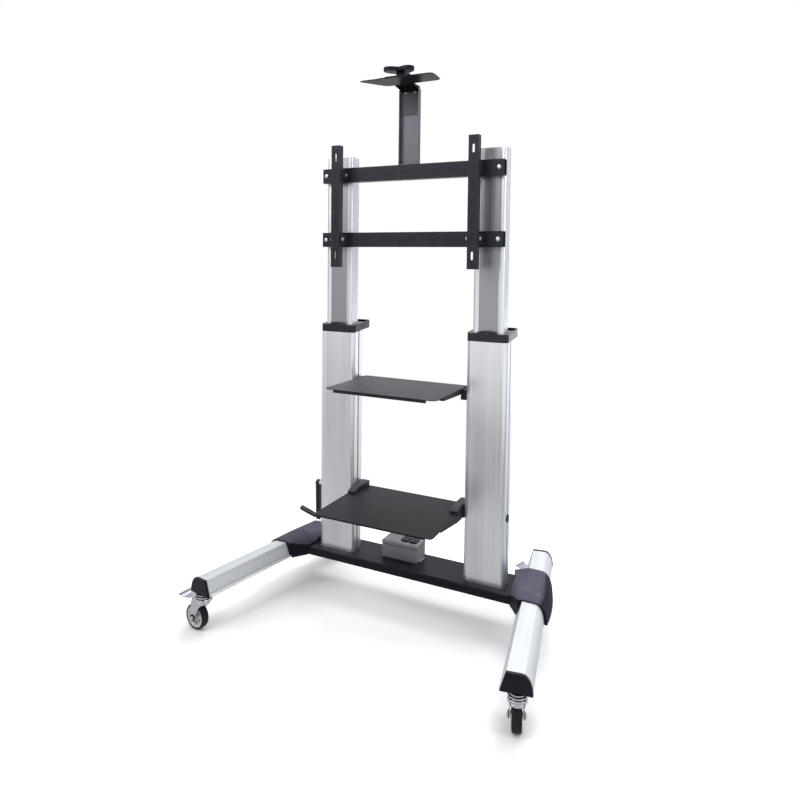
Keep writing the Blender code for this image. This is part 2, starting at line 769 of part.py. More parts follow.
column_face = -(COL_X + COL_W / 2)
CRANK = empty("crank", (column_face, COL_MID, CRANK_Z), STAND)
gear_tip = -COL_X - column_face
arm_in = -ARM_OFF
profile = [
    (0.0, gear_tip - (GEAR_BIG - GEAR_BIG_FACE) - GEAR_PLAY),
    (GEAR_BIG - GEAR_BIG_FACE, gear_tip - (GEAR_BIG - GEAR_BIG_FACE) - GEAR_PLAY),
    (GEAR_BIG, gear_tip - GEAR_BIG - GEAR_PLAY),
    (GEAR_BIG, gear_tip - GEAR_BIG - 0.006),
    (CRANK_SHAFT_R, gear_tip - GEAR_BIG - 0.006),
    (CRANK_SHAFT_R, 0.012),
    (SHAFT_HOLE - 0.001, 0.012),
    (SHAFT_HOLE - 0.001, -0.004),
    (0.0125, -0.004),
    (0.0125, arm_in + GAP),
    (0.0, arm_in + GAP),
]
turned("crank_shaft", profile, 20, "steel", "X", (0.0, 0.0, 0.0), parent=CRANK)


def arm_outline():
    pts = []
    for k in range(9):
        a = math.radians(180.0 - 180.0 * k / 8)
        pts.append((ARM_R_TOP * math.cos(a), ARM_R_TOP * math.sin(a)))
    for k in range(9):
        a = math.radians(-180.0 * k / 8)
        pts.append((ARM_R_LOW * math.cos(a), -ARM_LEN + ARM_R_LOW * math.sin(a)))
    return list(reversed(pts))


arm = prism("crank_arm", [arm_outline()], arm_in - ARM_T, arm_in, "black_plastic", "X", parent=CRANK)
edge = arm.modifiers.new("edge", "BEVEL")
edge.width = 0.002
edge.segments = 1
edge.limit_method = "ANGLE"
edge.angle_limit = math.radians(50.0)
GRIP = empty("grip_axis", (arm_in - ARM_T / 2, 0.0, -ARM_LEN), CRANK)
GRIP.rotation_euler = (0.0, GRIP_TILT, 0.0)
pin_reach = 0.045
pin = turned(
    "guide_grip_pin",
    [(0.0, 0.0), (GRIP_PIN_R, 0.0), (GRIP_PIN_R, -pin_reach), (0.0, -pin_reach)],
    12, "steel", "X", parent=GRIP, guide=True)
join(arm, pin)
start = ARM_T / 2 + ARM_R_LOW * math.sin(GRIP_TILT) + 0.0012
bore_r = GRIP_PIN_R + 0.0006
profile = [
    (0.0, -start - GRIP_LEN),
    (GRIP_R * 0.80, -start - GRIP_LEN),
    (GRIP_R, -start - GRIP_LEN + 0.003),
    (GRIP_R * 1.05, -start - GRIP_LEN * 0.55),
    (GRIP_R * 0.92, -start - 0.004),
    (GRIP_R * 0.78, -start),
    (bore_r, -start),
    (bore_r, -pin_reach - 0.001),
    (0.0, -pin_reach - 0.001),
]
turned("crank_grip", profile, 18, "black_plastic", "X", parent=GRIP)

face = COL_X + COL_W / 2
profile = [
    (0.0, face + GAP + PLUG_T), (PLUG_R * 0.8, face + GAP + PLUG_T), (PLUG_R, face + GAP + PLUG_T * 0.5),
    (PLUG_R, face + GAP), (SHAFT_HOLE - 0.0006, face + GAP), (SHAFT_HOLE - 0.0006, face - 0.009),
    (0.0, face - 0.009),
]
turned("column_plug", profile, 20, "black_plastic", "X", (0.0, COL_MID, CRANK_Z))


# casters
def arc_points(cx, cz, r, first, last, n):
    pts = []
    for k in range(n + 1):
        a = math.radians(first + (last - first) * k / n)
        pts.append((cx + r * math.cos(a), cz + r * math.sin(a)))
    return pts


HEAD_LOW = CROWN_TOP + GAP
plate_top = LEG_BOTTOM - GAP
head_profile = [
    (0.0, HEAD_LOW),
    (HEAD_R * 0.80, HEAD_LOW),
    (HEAD_R * 0.84, HEAD_LOW + 0.0025),
    (HEAD_R, HEAD_LOW + 0.004),
    (HEAD_R, HEAD_LOW + 0.008),
    (HEAD_R * 0.80, HEAD_LOW + 0.0095),
    (HEAD_R * 0.80, HEAD_LOW + 0.0125),
    (HEAD_R * 0.93, HEAD_LOW + 0.0135),
    (HEAD_R * 0.93, plate_top),
    (0.0, plate_top),
]

fork_outline = [(-0.024, CROWN_TOP), (-0.026, CROWN_TOP - 0.004), (-0.022, CROWN_TOP - 0.016)]
fork_outline += [(0.004, 0.096), (TRAIL - 0.0135, 0.062)]
fork_outline += arc_points(TRAIL, WHEEL_R, 0.0125, 180.0, 360.0, 6)
fork_outline += [(TRAIL + 0.0125, 0.095), (TRAIL + 0.004, CROWN_TOP - 0.004), (TRAIL, CROWN_TOP)]

pedal_x = TRAIL + 0.002
pedal_z = CROWN_TOP - 0.011
pedal_neck = [(pedal_x + 0.001, pedal_z + 0.0032), (pedal_x + 0.018, pedal_z + 0.0042)]
pedal_line = [(pedal_x + 0.016, pedal_z + 0.0046), (pedal_x + 0.034, pedal_z + 0.0010),
              (PEDAL_REACH - 0.014, pedal_z - 0.0025), (PEDAL_REACH - 0.006, pedal_z + 0.0015)]
barrel_r = 0.0032
lip_r = 0.0050


def strip(line, thick):
    """A bent strip: the line and its copy moved along the local normal."""
    low = []
    for i, p in enumerate(line):
        a = Vector(line[max(0, i - 1)])
        b = Vector(line[min(len(line) - 1, i + 1)])
        d = (b - a).normalized()
        low.append((p[0] + d.y * thick, p[1] - d.x * thick))
    return list(line) + list(reversed(low))


def rounded_ring(r0, r1, half_w, soft):
    return [
        (r0, -half_w), (r1 - soft, -half_w), (r1 - soft * 0.3, -half_w + soft * 0.3), (r1, -half_w + soft),
        (r1, half_w - soft), (r1 - soft * 0.3, half_w - soft * 0.3), (r1 - soft, half_w), (r0, half_w),
    ]


core_r = WHEEL_R - TYRE_T
core_profile = [
    (AXLE_R + GAP, -CORE_HUB_W / 2), (0.011, -CORE_HUB_W / 2), (0.0125, -0.009), (0.030, -0.0065),
    (core_r - 0.007, -CORE_RIM_W / 2), (core_r, -CORE_RIM_W / 2),
    (core_r, CORE_RIM_W / 2), (core_r - 0.007, CORE_RIM_W / 2),
    (0.030, 0.0065), (0.0125, 0.009), (0.011, CORE_HUB_W / 2), (AXLE_R + GAP, CORE_HUB_W / 2),
]

front_y = LEG_FRONT - cap_y
rear_y = LEG_REAR + cap_y
for side in (-1, 1):
    for y_end, step, where in ((front_y, 1, "front"), (rear_y, -1, "rear")):
        tag = where + "_" + side_name(side)
        px, py = leg_point(y_end + step * CASTER_INSET, CASTER_SIDE)
        swivel = empty("caster_" + tag, (side * px, py, 0.0), STAND)
        turned("caster_head_" + tag, head_profile, 24, "zinc", "Z", parent=swivel)
        turn = empty("caster_turn_" + tag, (0.0, 0.0, 0.0), swivel)
        turn.rotation_euler = (0.0, 0.0, CASTER_TURN[tag])
        half = FORK_GAP / 2 + FORK_T
        fork = prism("caster_fork_" + tag, [fork_outline], -half, half, "zinc", "Y", parent=turn)
        gap_box = block(
            "guide_fork_gap_" + tag, (-0.05, 0.09), (-FORK_GAP / 2, FORK_GAP / 2),
            (-0.02, CROWN_TOP - 0.0035), parent=turn)
        cut(fork, gap_box)
        cup = turned(
            "guide_fork_cup_" + tag,
            [(0.0, CROWN_TOP - 0.001), (CUP_R - 0.002, CROWN_TOP - 0.001), (CUP_R, CROWN_TOP - 0.004),
             (CUP_R, CROWN_TOP - 0.012), (CUP_R - 0.004, CROWN_TOP - 0.015),
             (CUP_R - 0.004, CUP_LOW + 0.005), (CUP_R - 0.009, CUP_LOW), (0.0, CUP_LOW)],
            24, "steel", "Z", parent=turn, guide=True)
        join(fork, cup)
        axle_half = half + 0.0035
        axle = turned(
            "guide_axle_" + tag,
            [(0.0, -axle_half), (0.0065, -axle_half), (0.0065, -half + 0.001), (AXLE_R, -half + 0.001),
             (AXLE_R, half - 0.001), (0.0065, half - 0.001), (0.0065, axle_half), (0.0, axle_half)],
            16, "steel", "Y", parent=turn, guide=True)
        axle.location = (TRAIL, 0.0, WHEEL_R)
        join(fork, axle)
        wheel = empty("wheel_axis_" + tag, (TRAIL, 0.0, WHEEL_R), turn)
        turned(
            "caster_core_" + tag, core_profile, WHEEL_SEG, "wheel_core", "Y", start=-math.pi / 2, parent=wheel)
        turned(
            "caster_tyre_" + tag, rounded_ring(core_r + GAP, WHEEL_R, TYRE_W / 2, 0.006), WHEEL_SEG,
            "tyre", "Y", start=-math.pi / 2, parent=wheel)
        pedal = prism(
            "caster_pedal_" + tag, [strip(pedal_line, 0.0025)], -PEDAL_W / 2, PEDAL_W / 2, "zinc", "Y",
            at=(pedal_x, 0.0, pedal_z), parent=turn)
        reach = FORK_GAP / 2 - GAP
        link = prism(
            "guide_pedal_neck_" + tag, [strip(pedal_neck, 0.0025)], -PEDAL_NECK / 2, PEDAL_NECK / 2,
            "steel", "Y", parent=turn, guide=True)
        barrel = turned(
            "guide_pedal_barrel_" + tag,
            [(0.0, -reach), (barrel_r, -reach), (barrel_r, reach), (0.0, reach)],
            12, "steel", "Y", parent=turn, guide=True)
        barrel.location = (pedal_x, 0.0, pedal_z)
        lip = prism(
            "guide_pedal_lip_" + tag,
            [arc_points(PEDAL_REACH - 0.0015, pedal_z + 0.0030, lip_r, 0.0, 315.0, 7)],
            -PEDAL_W / 2 - 0.002, PEDAL_W / 2 + 0.002, "steel", "Y", parent=turn, guide=True)
        join(pedal, link, barrel, lip)


# shelves
def shelf_outline(half, front, back, r, neck=None, neck_y=None):
    pts = []
    for k in range(5):
        a = math.radians(-90.0 + 90.0 * k / 4)
        pts.append((half - r + r * math.cos(a), front + r + r * math.sin(a)))
    if neck:
        pts += [(half, neck_y), (neck, neck_y)]
    pts += [(neck or half, back)]
    return pts + [(-u, v) for u, v in reversed(pts)]


def clamp_outline(side, x_in, x_face):
    """Plan of a clamp block with the key that fills a column's T-slot."""
    o = SLOT_OPEN / 2 - 0.0004
    w = SLOT_WIDE / 2 - 0.0006
    f = x_face - GAP
    pts = [
        (x_in, CLAMP_FRONT), (f, CLAMP_FRONT), (f, COL_MID - o),
        (x_face + SLOT_LIP + 0.0005, COL_MID - o), (x_face + SLOT_LIP + 0.0005, COL_MID - w),
        (x_face + SLOT_DEEP - 0.001, COL_MID - w), (x_face + SLOT_DEEP - 0.001, COL_MID + w),
        (x_face + SLOT_LIP + 0.0005, COL_MID + w), (x_face + SLOT_LIP + 0.0005, COL_MID + o),
        (f, COL_MID + o), (f, CLAMP_BACK), (x_in, CLAMP_BACK),
    ]
    return pts if side > 0 else mirror_x(pts)


col_face_in = COL_X - COL_W / 2
upper = prism(
    "shelf_upper", [shelf_outline(UPPER_HALF, UPPER_FRONT, UPPER_BACK, UPPER_ROUND)],
    UPPER_Z - SHELF_T, UPPER_Z, "black_paint")
flange_half = UPPER_HALF - UPPER_ROUND - 0.018
flange = block(
    "guide_upper_flange", (-flange_half, flange_half), (UPPER_FRONT + 0.004, UPPER_FRONT + 0.007),
    (UPPER_Z - SHELF_T - UPPER_FLANGE, UPPER_Z - 0.001))
join(upper, flange)
lower = prism(
    "shelf_lower",
    [shelf_outline(LOWER_HALF, LOWER_FRONT, LOWER_BACK, LOWER_ROUND, LOWER_NECK, LOWER_NECK_Y)],
    LOWER_Z - SHELF_T, LOWER_Z, "black_paint")
flange = block(
    "guide_lower_flange", (-LOWER_HALF + 0.03, LOWER_HALF - 0.03),
    (LOWER_FRONT + 0.004, LOWER_FRONT + 0.007), (LOWER_Z - SHELF_T - 0.006, LOWER_Z - 0.001))
join(lower, flange)

for side in (-1, 1):
    tag = side_name(side)
    under = UPPER_Z - SHELF_T - GAP
    x0 = UPPER_HALF - 0.001 - ARM_PLATE_T
    x1 = UPPER_HALF - 0.001
    outline = [(-0.186, under), (-0.178, under - 0.013), (CLAMP_BACK, under - 0.023), (CLAMP_BACK, under)]
    bracket = prism(
        "shelf_upper_arm_" + tag, [list(reversed(outline))], *sorted((side * x0, side * x1)),
        "black_paint", "X")
    clamp = prism(
        "guide_upper_clamp_" + tag, [clamp_outline(side, x1 - 0.004, col_face_in)],
        UPPER_Z - 0.045, under - 0.001, "steel", guide=True)
    join(bracket, clamp)

    under = LOWER_Z - SHELF_T - GAP
    x0 = LOWER_NECK + 0.0012
    x1 = LOWER_HALF - 0.002
    outline = [(-0.215, under), (-0.215, under - 0.008), (-0.090, under - 0.024)]
    outline += [(LOWER_NECK_Y, under - 0.030), (LOWER_NECK_Y, under)]
    bracket = prism(
        "shelf_lower_arm_" + tag, [list(reversed(outline))], *sorted((side * x0, side * x1)),
        "black_paint", "X")
    outline = [(LOWER_NECK_Y + GAP * 2, under - 0.030), (CLAMP_BACK, under - 0.030)]
    outline += [(CLAMP_BACK, LOWER_Z + 0.022), (-0.012, LOWER_Z + 0.022)]
    outline += [(LOWER_NECK_Y + GAP * 2, LOWER_Z + 0.010)]
    riser = prism(
        "guide_lower_riser_" + tag, [outline], *sorted((side * x0, side * x1)), "steel", "X", guide=True)
    bridge = block(
        "guide_lower_bridge_" + tag, sorted((side * x0, side * x1)),
        (LOWER_NECK_Y - 0.006, LOWER_NECK_Y + 0.006), (under - 0.029, under - 0.0005))
    clamp = prism(
        "guide_lower_clamp_" + tag, [clamp_outline(side, x1 - 0.004, col_face_in)],
        under - 0.029, LOWER_Z + 0.021, "steel", guide=True)
    join(bracket, bridge, riser, clamp)


# power box
box_w = BOX_RIGHT - BOX_LEFT
foot = 0.010
body = prism(
    "power_box", [box_loop(BOX_LEFT, BOX_RIGHT, BOX_FRONT, BOX_BACK)], BEAM_TOP + GAP, BOX_SEAM, "box_grey")
feet = block(
    "guide_box_feet", (BOX_LEFT - foot, BOX_RIGHT + foot), (BOX_FRONT + 0.02, BOX_BACK - 0.02),
    (BEAM_TOP + GAP, BEAM_TOP + GAP + 0.002))
join(body, feet)
lid = prism(
    "power_box_lid",
    [box_loop(BOX_LEFT - BOX_OVER, BOX_RIGHT + BOX_OVER, BOX_FRONT - BOX_OVER, BOX_BACK + BOX_OVER)],
    BOX_SEAM + GAP, BOX_TOP, "box_grey")
edge = lid.modifiers.new("edge", "BEVEL")
edge.width = 0.0015
edge.segments = 1
for n, x in enumerate(OUTLET_X):
    prism(
        "power_outlet_" + "ab"[n], [round_box(x, OUTLET_Y, OUTLET_W, OUTLET_D, 0.004, 2)],
        BOX_TOP + GAP, BOX_TOP + GAP + OUTLET_H, "black_plastic")
prism(
    "power_inlet",
    [round_box(BOX_LEFT + 0.04, (BEAM_TOP + BOX_SEAM) / 2, 0.030, 0.024, 0.004, 2)],
    BOX_BACK + GAP, BOX_BACK + GAP + 0.004, "black_plastic", "Y")


# screen mount
inner_front = COL_MID - INNER_D / 2
rail_back = inner_front - GAP
rail_front = rail_back - RAIL_D
ear_in = VARM_W / 2 + 0.0006
arm_back = rail_front - 0.034
pivot_y = arm_back - 0.010
MOUNT_ARM_FRONT = arm_back - VARM_D


def rail_loops(z):
    outer = box_loop(rail_front, rail_back, z - RAIL_H / 2, z + RAIL_H / 2)
    inner = box_loop(rail_front + RAIL_WALL, rail_back - RAIL_WALL,
                     z - RAIL_H / 2 + RAIL_WALL, z + RAIL_H / 2 - RAIL_WALL)
    return [outer, inner]


high = prism("tv_rail_upper", rail_loops(RAIL_HIGH_Z), -RAIL_HALF, RAIL_HALF, "black_paint", "X")
low = prism("tv_rail_lower", rail_loops(RAIL_LOW_Z), -RAIL_HALF, RAIL_HALF, "black_paint", "X")
for side in (-1, 1):
    tag = side_name(side)
    cx = side * HOLE_HALF
    for n, edge_x in enumerate((cx - ear_in - EAR_T, cx + ear_in)):
        ear = block(
            "guide_ear_%s_%d" % (tag, n), (edge_x, edge_x + EAR_T), (pivot_y - 0.012, rail_front + 0.001),
            (RAIL_LOW_Z - EAR_H / 2, RAIL_LOW_Z + EAR_H / 2))
        join(low, ear)
    bolt_half = ear_in + EAR_T + 0.002
    bolt = turned(
        "guide_pivot_" + tag,
        [(0.0, -bolt_half), (PIVOT_R, -bolt_half), (PIVOT_R, bolt_half), (0.0, bolt_half)],
        16, "steel", "X", (cx, pivot_y, RAIL_LOW_Z), guide=True)
    join(low, bolt)
    rest = block(
        "guide_rest_" + tag, (cx - 0.015, cx + 0.015), (arm_back + GAP, rail_front + 0.001),
        (RAIL_HIGH_Z - 0.020, RAIL_HIGH_Z + 0.020))
    join(high, rest)

    hw = VARM_W / 2
    web = MOUNT_ARM_FRONT + VARM_WALL
    channel = [
        (cx - hw, MOUNT_ARM_FRONT), (cx + hw, MOUNT_ARM_FRONT), (cx + hw, arm_back),
        (cx + hw - VARM_WALL, arm_back), (cx + hw - VARM_WALL, web),
        (cx - hw + VARM_WALL, web), (cx - hw + VARM_WALL, arm_back), (cx - hw, arm_back),
    ]
    screen_arm = prism(
        "screen_arm_" + tag, [channel], SCREEN_Z - VARM_LEN / 2, SCREEN_Z + VARM_LEN / 2, "black_paint",
        at=(cx, pivot_y, RAIL_LOW_Z))
    hole = turned(
        "guide_pivot_hole_" + tag,
        [(0.0, -0.03), (PIVOT_R + PIVOT_FIT, -0.03), (PIVOT_R + PIVOT_FIT, 0.03), (0.0, 0.03)],
        16, "steel", "X", (cx, pivot_y, RAIL_LOW_Z), guide=True)
    cut(screen_arm, hole)
    for n, dz in enumerate((-HOLE_HIGH, HOLE_HIGH)):
        slot = prism(
            "guide_screen_slot_%s_%d" % (tag, n),
            [round_box(cx, SCREEN_Z + dz, 0.009, 0.032, 0.0044, 3)],
            MOUNT_ARM_FRONT - 0.01, web + 0.002, "steel", "Y", guide=True)
        cut(screen_arm, slot)


# camera post and shelf
post_front = rail_front + POST_SET
post_back = post_front + POST_D
hw = POST_W / 2
post = prism(
    "camera_post",
    [[(-hw, post_front), (-hw + POST_WALL, post_front), (-hw + POST_WALL, post_back - POST_WALL),
      (hw - POST_WALL, post_back - POST_WALL), (hw - POST_WALL, post_front), (hw, post_front),
      (hw, post_back), (-hw, post_back)]],
    POST_LOW, POST_TOP, "post_grey")
foot_plate = block(
    "guide_post_foot", (-hw + 0.001, hw - 0.001), (post_front + 0.001, post_back - 0.001),
    (POST_LOW, POST_LOW + 0.003))
join(post, foot_plate)

neck = hw - POST_WALL - 0.0005
tongue_back = post_back - POST_WALL - GAP
plan = list(reversed(CAM_PLAN))
shelf = prism("camera_shelf", [plan], CAM_Z - CAM_RIM, CAM_Z, "black_paint")
pocket = prism(
    "guide_cam_pocket", [inset(plan, 0.003)], CAM_Z - CAM_RIM - 0.01, CAM_Z - CAM_T, "steel", guide=True)
cut(shelf, pocket)
root_plate = block(
    "guide_cam_root", (-neck, neck), (CAM_BACK - 0.02, tongue_back), (CAM_Z - CAM_T, CAM_Z - 0.0002))
tongue = block(
    "guide_cam_tongue", (-neck, neck), (tongue_back - 0.003, tongue_back),
    (CAM_Z - CAM_TONGUE, CAM_Z - 0.001))
pad = block(
    "guide_cam_pad", CAM_PAD_X, (CAM_FRONT + 0.0005, CAM_BACK - 0.0005), (CAM_Z - 0.001, CAM_Z + CAM_PAD))
lip = block(
    "guide_cam_lip", CAM_LIP_X, (CAM_FRONT + 0.0005, CAM_FRONT + 0.0035),
    (CAM_Z - 0.001, CAM_Z + CAM_LIP_H))
join(shelf, root_plate, tongue, pad, lip)
for n, sx in enumerate((-1, 1)):
    web_x = sorted((sx * neck, sx * (neck - 0.003)))
    outline = [(tongue_back - 0.001, CAM_Z - CAM_ROOT_H), (tongue_back - 0.001, CAM_Z - 0.001),
               (CAM_BACK - 0.004, CAM_Z - 0.001), (CAM_BACK - 0.004, CAM_Z - 0.005)]
    gusset = prism("guide_cam_web_%d" % n, [outline], web_x[0], web_x[1], "steel", "X", guide=True)
    join(shelf, gusset)


def knob_radius(angle):
    return KNOB_R * (0.46 + 0.54 * math.cos(KNOB_LOBES * angle * 0.5) ** 2)


knob_z = CAM_Z + CAM_PAD + GAP
knob_base = turned(
    "camera_knob",
    [(0.0, knob_z), (KNOB_BASE_R, knob_z), (KNOB_BASE_R, knob_z + 0.006),
     (KNOB_BASE_R * 0.72, knob_z + 0.010), (KNOB_STEM_R, knob_z + 0.016),
     (KNOB_STEM_R, CAM_Z + KNOB_HIGH + 0.003), (0.012, CAM_Z + KNOB_HIGH + 0.006),
     (0.0, CAM_Z + KNOB_HIGH + 0.006)],
    24, "black_plastic", "Z", (KNOB_X, KNOB_Y, 0.0))
star = []
for k in range(36):
    a = 2.0 * math.pi * k / 36
    r = knob_radius(a + KNOB_TURN)
    star.append((KNOB_X + r * math.cos(a), KNOB_Y + r * math.sin(a)))
lobes = prism("guide_knob_star", [star], CAM_Z + KNOB_LOW, CAM_Z + KNOB_HIGH, "steel", guide=True)
join(knob_base, lobes)
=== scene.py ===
# %% [markdown]
# # A mobile screen stand, dressed for its picture
#
# The stand rolls on four casters.  Two satin aluminium columns rise from a black cross beam between two
# splayed legs, and a hand crank lifts the inner columns with the screen mount.  The shapes that carry and
# move are already packed as a fixed frame.  This lesson loads that frame, rounds and smooths what shows,
# models the small parts that make it look real, and gives every surface a finish made of nodes.

# %% Load the frame
import json
import math

import bpy
from mathutils import Matrix, Vector


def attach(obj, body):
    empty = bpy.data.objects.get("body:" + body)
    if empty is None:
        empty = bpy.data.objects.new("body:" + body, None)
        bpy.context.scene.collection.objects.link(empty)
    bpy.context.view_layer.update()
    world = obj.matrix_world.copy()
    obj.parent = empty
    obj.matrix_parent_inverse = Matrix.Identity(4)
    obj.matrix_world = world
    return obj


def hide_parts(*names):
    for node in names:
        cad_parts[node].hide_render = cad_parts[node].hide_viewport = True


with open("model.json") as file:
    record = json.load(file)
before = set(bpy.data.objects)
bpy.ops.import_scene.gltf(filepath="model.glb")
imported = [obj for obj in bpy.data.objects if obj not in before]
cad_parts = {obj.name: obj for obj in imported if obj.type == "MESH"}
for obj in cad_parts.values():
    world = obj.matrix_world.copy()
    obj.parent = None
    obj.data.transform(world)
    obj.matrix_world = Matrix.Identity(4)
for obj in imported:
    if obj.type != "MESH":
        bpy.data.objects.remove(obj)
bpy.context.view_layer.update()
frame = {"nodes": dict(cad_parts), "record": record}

# %% [markdown]
# The frame is in metres with its middle at zero, but the columns are easier to think about from their own
# middle plane and front face.  Two numbers carry all the later places from one to the other.

# %% Where things are
MID_X = 0.03106
FACE_Y = 0.07668


def spot(x, y, z):
    """A point given from the plane between the columns, their front face and the floor."""
    return Vector((x + MID_X, y + FACE_Y, z))


# %% [markdown]
# ## Camera and light
#
# The picture was taken from the front right, at about the height of a person's chest.  The uprights stay
# almost parallel, so the camera looks nearly level and the picture is shifted down instead of tilted.

# %% The camera
scene = bpy.context.scene
camera_data = bpy.data.cameras.new("camera")
camera_data.sensor_width = 36.0
camera_data.lens = 28.993
camera_data.shift_y = -0.136
camera = bpy.data.objects.new("camera", camera_data)
scene.collection.objects.link(camera)
yaw, pitch, roll = math.radians(26.232), math.radians(-2.595), math.radians(0.6995)
camera.location = spot(1.1265, -2.3638, 1.4392)
turn = Matrix.Rotation(yaw, 4, "Z") @ Matrix.Rotation(math.radians(90.0) + pitch, 4, "X")
camera.rotation_euler = (turn @ Matrix.Rotation(roll, 4, "Z")).to_euler()
scene.camera = camera
scene.view_settings.view_transform = "Standard"
print("camera", tuple(round(v, 3) for v in camera.location))

# %% [markdown]
# Every finish and the room itself are built from nodes, and most of those nodes are wired alike.  These
# helpers add a node, set its sockets and connect it in one line, so that each recipe below stays readable.

# %% Helpers for nodes
def add_node(tree, kind, **values):
    """A new node; a keyword names a setting, or an input socket with its spaces written as underscores."""
    node = tree.nodes.new(kind)
    for key, value in values.items():
        if hasattr(node, key):
            setattr(node, key, value)
        else:
            node.inputs[key.replace("_", " ")].default_value = value
    return node


def wire(tree, source, target):
    """Connects two sockets."""
    tree.links.new(source, target)


def math_node(tree, operation, a, b=None, clamp=False):
    """A Math node whose inputs are sockets or plain numbers; gives back its output."""
    node = tree.nodes.new("ShaderNodeMath")
    node.operation = operation
    node.use_clamp = clamp
    for index, value in enumerate((a, b)):
        if value is None:
            continue
        if isinstance(value, (int, float)):
            node.inputs[index].default_value = value
        else:
            tree.links.new(value, node.inputs[index])
    return node.outputs[0]


def near_to(tree, value, middle, reach):
    """A Math node that gives 1 where a value lies within reach of a middle, and 0 elsewhere."""
    output = math_node(tree, "COMPARE", value, middle)
    output.node.inputs[2].default_value = reach
    return output


def span_node(tree, value, low, high, to_low=0.0, to_high=1.0):
    """A Map Range node that carries one range of numbers onto another; gives back its output."""
    node = tree.nodes.new("ShaderNodeMapRange")
    for index, number in enumerate((low, high, to_low, to_high)):
        node.inputs[index + 1].default_value = number
    tree.links.new(value, node.inputs[0])
    return node.outputs[0]


# %% [markdown]
# ## The room
#
# Satin metal shows what is around it, so the room matters more than the lamps.  The camera sees plain
# white.  Shiny surfaces see a white room that dims to both sides, a little behind and a little towards the
# horizon, which shades the columns.  Matt surfaces take a dimmer sky, so that the lamps still shape them.

# %% World
SKY_FILL = 0.34        # how bright the sky is for matt surfaces
SIDE_BRIGHT = 0.60     # how bright the room is for shiny ones, straight to the side
BACK_BRIGHT = 0.95     # the same straight behind
LOW_BRIGHT = 0.88      # the same at the horizon

world = bpy.data.worlds.new("studio")
scene.world = world
world.use_nodes = True
sky = world.node_tree
sky.nodes.clear()
sky_out = add_node(sky, "ShaderNodeOutputWorld")
sky_seen = add_node(sky, "ShaderNodeBackground", Color=(1.0, 1.0, 1.0, 1.0), Strength=1.0)
sky_gloss = add_node(sky, "ShaderNodeBackground", Color=(0.97, 0.98, 1.0, 1.0), Strength=1.0)
sky_fill = add_node(sky, "ShaderNodeBackground", Color=(0.95, 0.97, 1.0, 1.0), Strength=SKY_FILL)
sky_path = add_node(sky, "ShaderNodeLightPath")
way = add_node(sky, "ShaderNodeTexCoord")
split = add_node(sky, "ShaderNodeSeparateXYZ")
wire(sky, way.outputs["Generated"], split.inputs[0])
side_dim = span_node(sky, math_node(sky, "ABSOLUTE", split.outputs["X"]), 0.60, 1.0, 1.0, SIDE_BRIGHT)
back_dim = span_node(sky, split.outputs["Y"], -0.2, 0.8, 1.0, BACK_BRIGHT)
rise = span_node(sky, split.outputs["Z"], 0.0, 0.75, LOW_BRIGHT, 1.0)
dimmed = math_node(sky, "MULTIPLY", side_dim, back_dim)
wire(sky, math_node(sky, "MULTIPLY", dimmed, rise), sky_gloss.inputs["Strength"])
first_mix = add_node(sky, "ShaderNodeMixShader")
wire(sky, sky_path.outputs["Is Glossy Ray"], first_mix.inputs["Fac"])
wire(sky, sky_fill.outputs[0], first_mix.inputs[1])
wire(sky, sky_gloss.outputs[0], first_mix.inputs[2])
second_mix = add_node(sky, "ShaderNodeMixShader")
wire(sky, sky_path.outputs["Is Camera Ray"], second_mix.inputs["Fac"])
wire(sky, first_mix.outputs[0], second_mix.inputs[1])
wire(sky, sky_seen.outputs[0], second_mix.inputs[2])
wire(sky, second_mix.outputs[0], sky_out.inputs["Surface"])
print("world", len(sky.nodes), "nodes")


# %% [markdown]
# Four large soft lamps stand around the object: a key from the front left and above, a weaker one from the
# right, one overhead and one from behind on the left.  The last two lift the tops of the legs and shelves
# off the floor.  The one behind is hidden from reflections, where it would draw white patches.

# %% Lamps
def lamp(name, at, aim, size, power):
    """A soft rectangular lamp at a point, turned to face another."""
    data = bpy.data.lights.new(name, "AREA")
    data.shape = "RECTANGLE"
    data.size, data.size_y = size
    data.energy = power
    obj = bpy.data.objects.new(name, data)
    obj.location = at
    obj.rotation_euler = (Vector(aim) - Vector(at)).to_track_quat("-Z", "Y").to_euler()
    scene.collection.objects.link(obj)
    return obj


lamp("lamp_key", (-1.7, -3.2, 3.7), (0.0, 0.0, 0.8), (2.4, 2.4), 95.0)
lamp("lamp_side", (3.6, -0.8, 2.6), (0.0, 0.0, 0.8), (1.6, 2.6), 50.0)
lamp("lamp_top", (0.8, 1.6, 4.3), (0.0, 0.0, 0.2), (2.4, 1.8), 118.0)
lamp_back = lamp("lamp_back", (-1.9, 3.9, 3.0), (0.0, 0.0, 0.5), (2.6, 1.6), 90.0)
lamp_back.visible_glossy = False

# %% [markdown]
# The floor is a wide pale sheet that takes the soft shadow of the stand.  Near the object it is lit like
# anything else, and the camera sees a little glow on it where the sky is open.  The glow keeps the shadow
# light, but it fades next to parts, which paints a darker contact shade under and beside them.  Further out
# the floor fades to plain white for the camera, so that no edge shows where the sheet ends and the white room
# begins.
#
# Reflections see another floor.  It is fairly bright close by, dark in a lane that crosses in front of the
# stand on the slant, and bright beyond.  The lane draws the smoky band on the columns, higher on the left
# one than on the right, and the bright part beyond it makes their tops nearly white.

# %% The floor
# The glow is held back near parts, which paints a contact shade on the floor; OPEN_REACH is how far that
# painted shade reaches.
FLOOR_GLOW = 0.42                       # added for the camera where nothing is near
OPEN_REACH = 0.30                       # how far a shadow's contact is felt, in metres
FADE_START, FADE_END = 0.75, 1.6        # from here to here the floor turns plain white
LANE_ACROSS = (0.555, -0.832, 0.0)      # the way from the stand straight across the dark lane
LANE_NEAR, LANE_DARK = (1.0, 1.6), (0.64, 0.06)
LANE_FAR, FAR_BRIGHT = (2.3, 3.3), 1.50

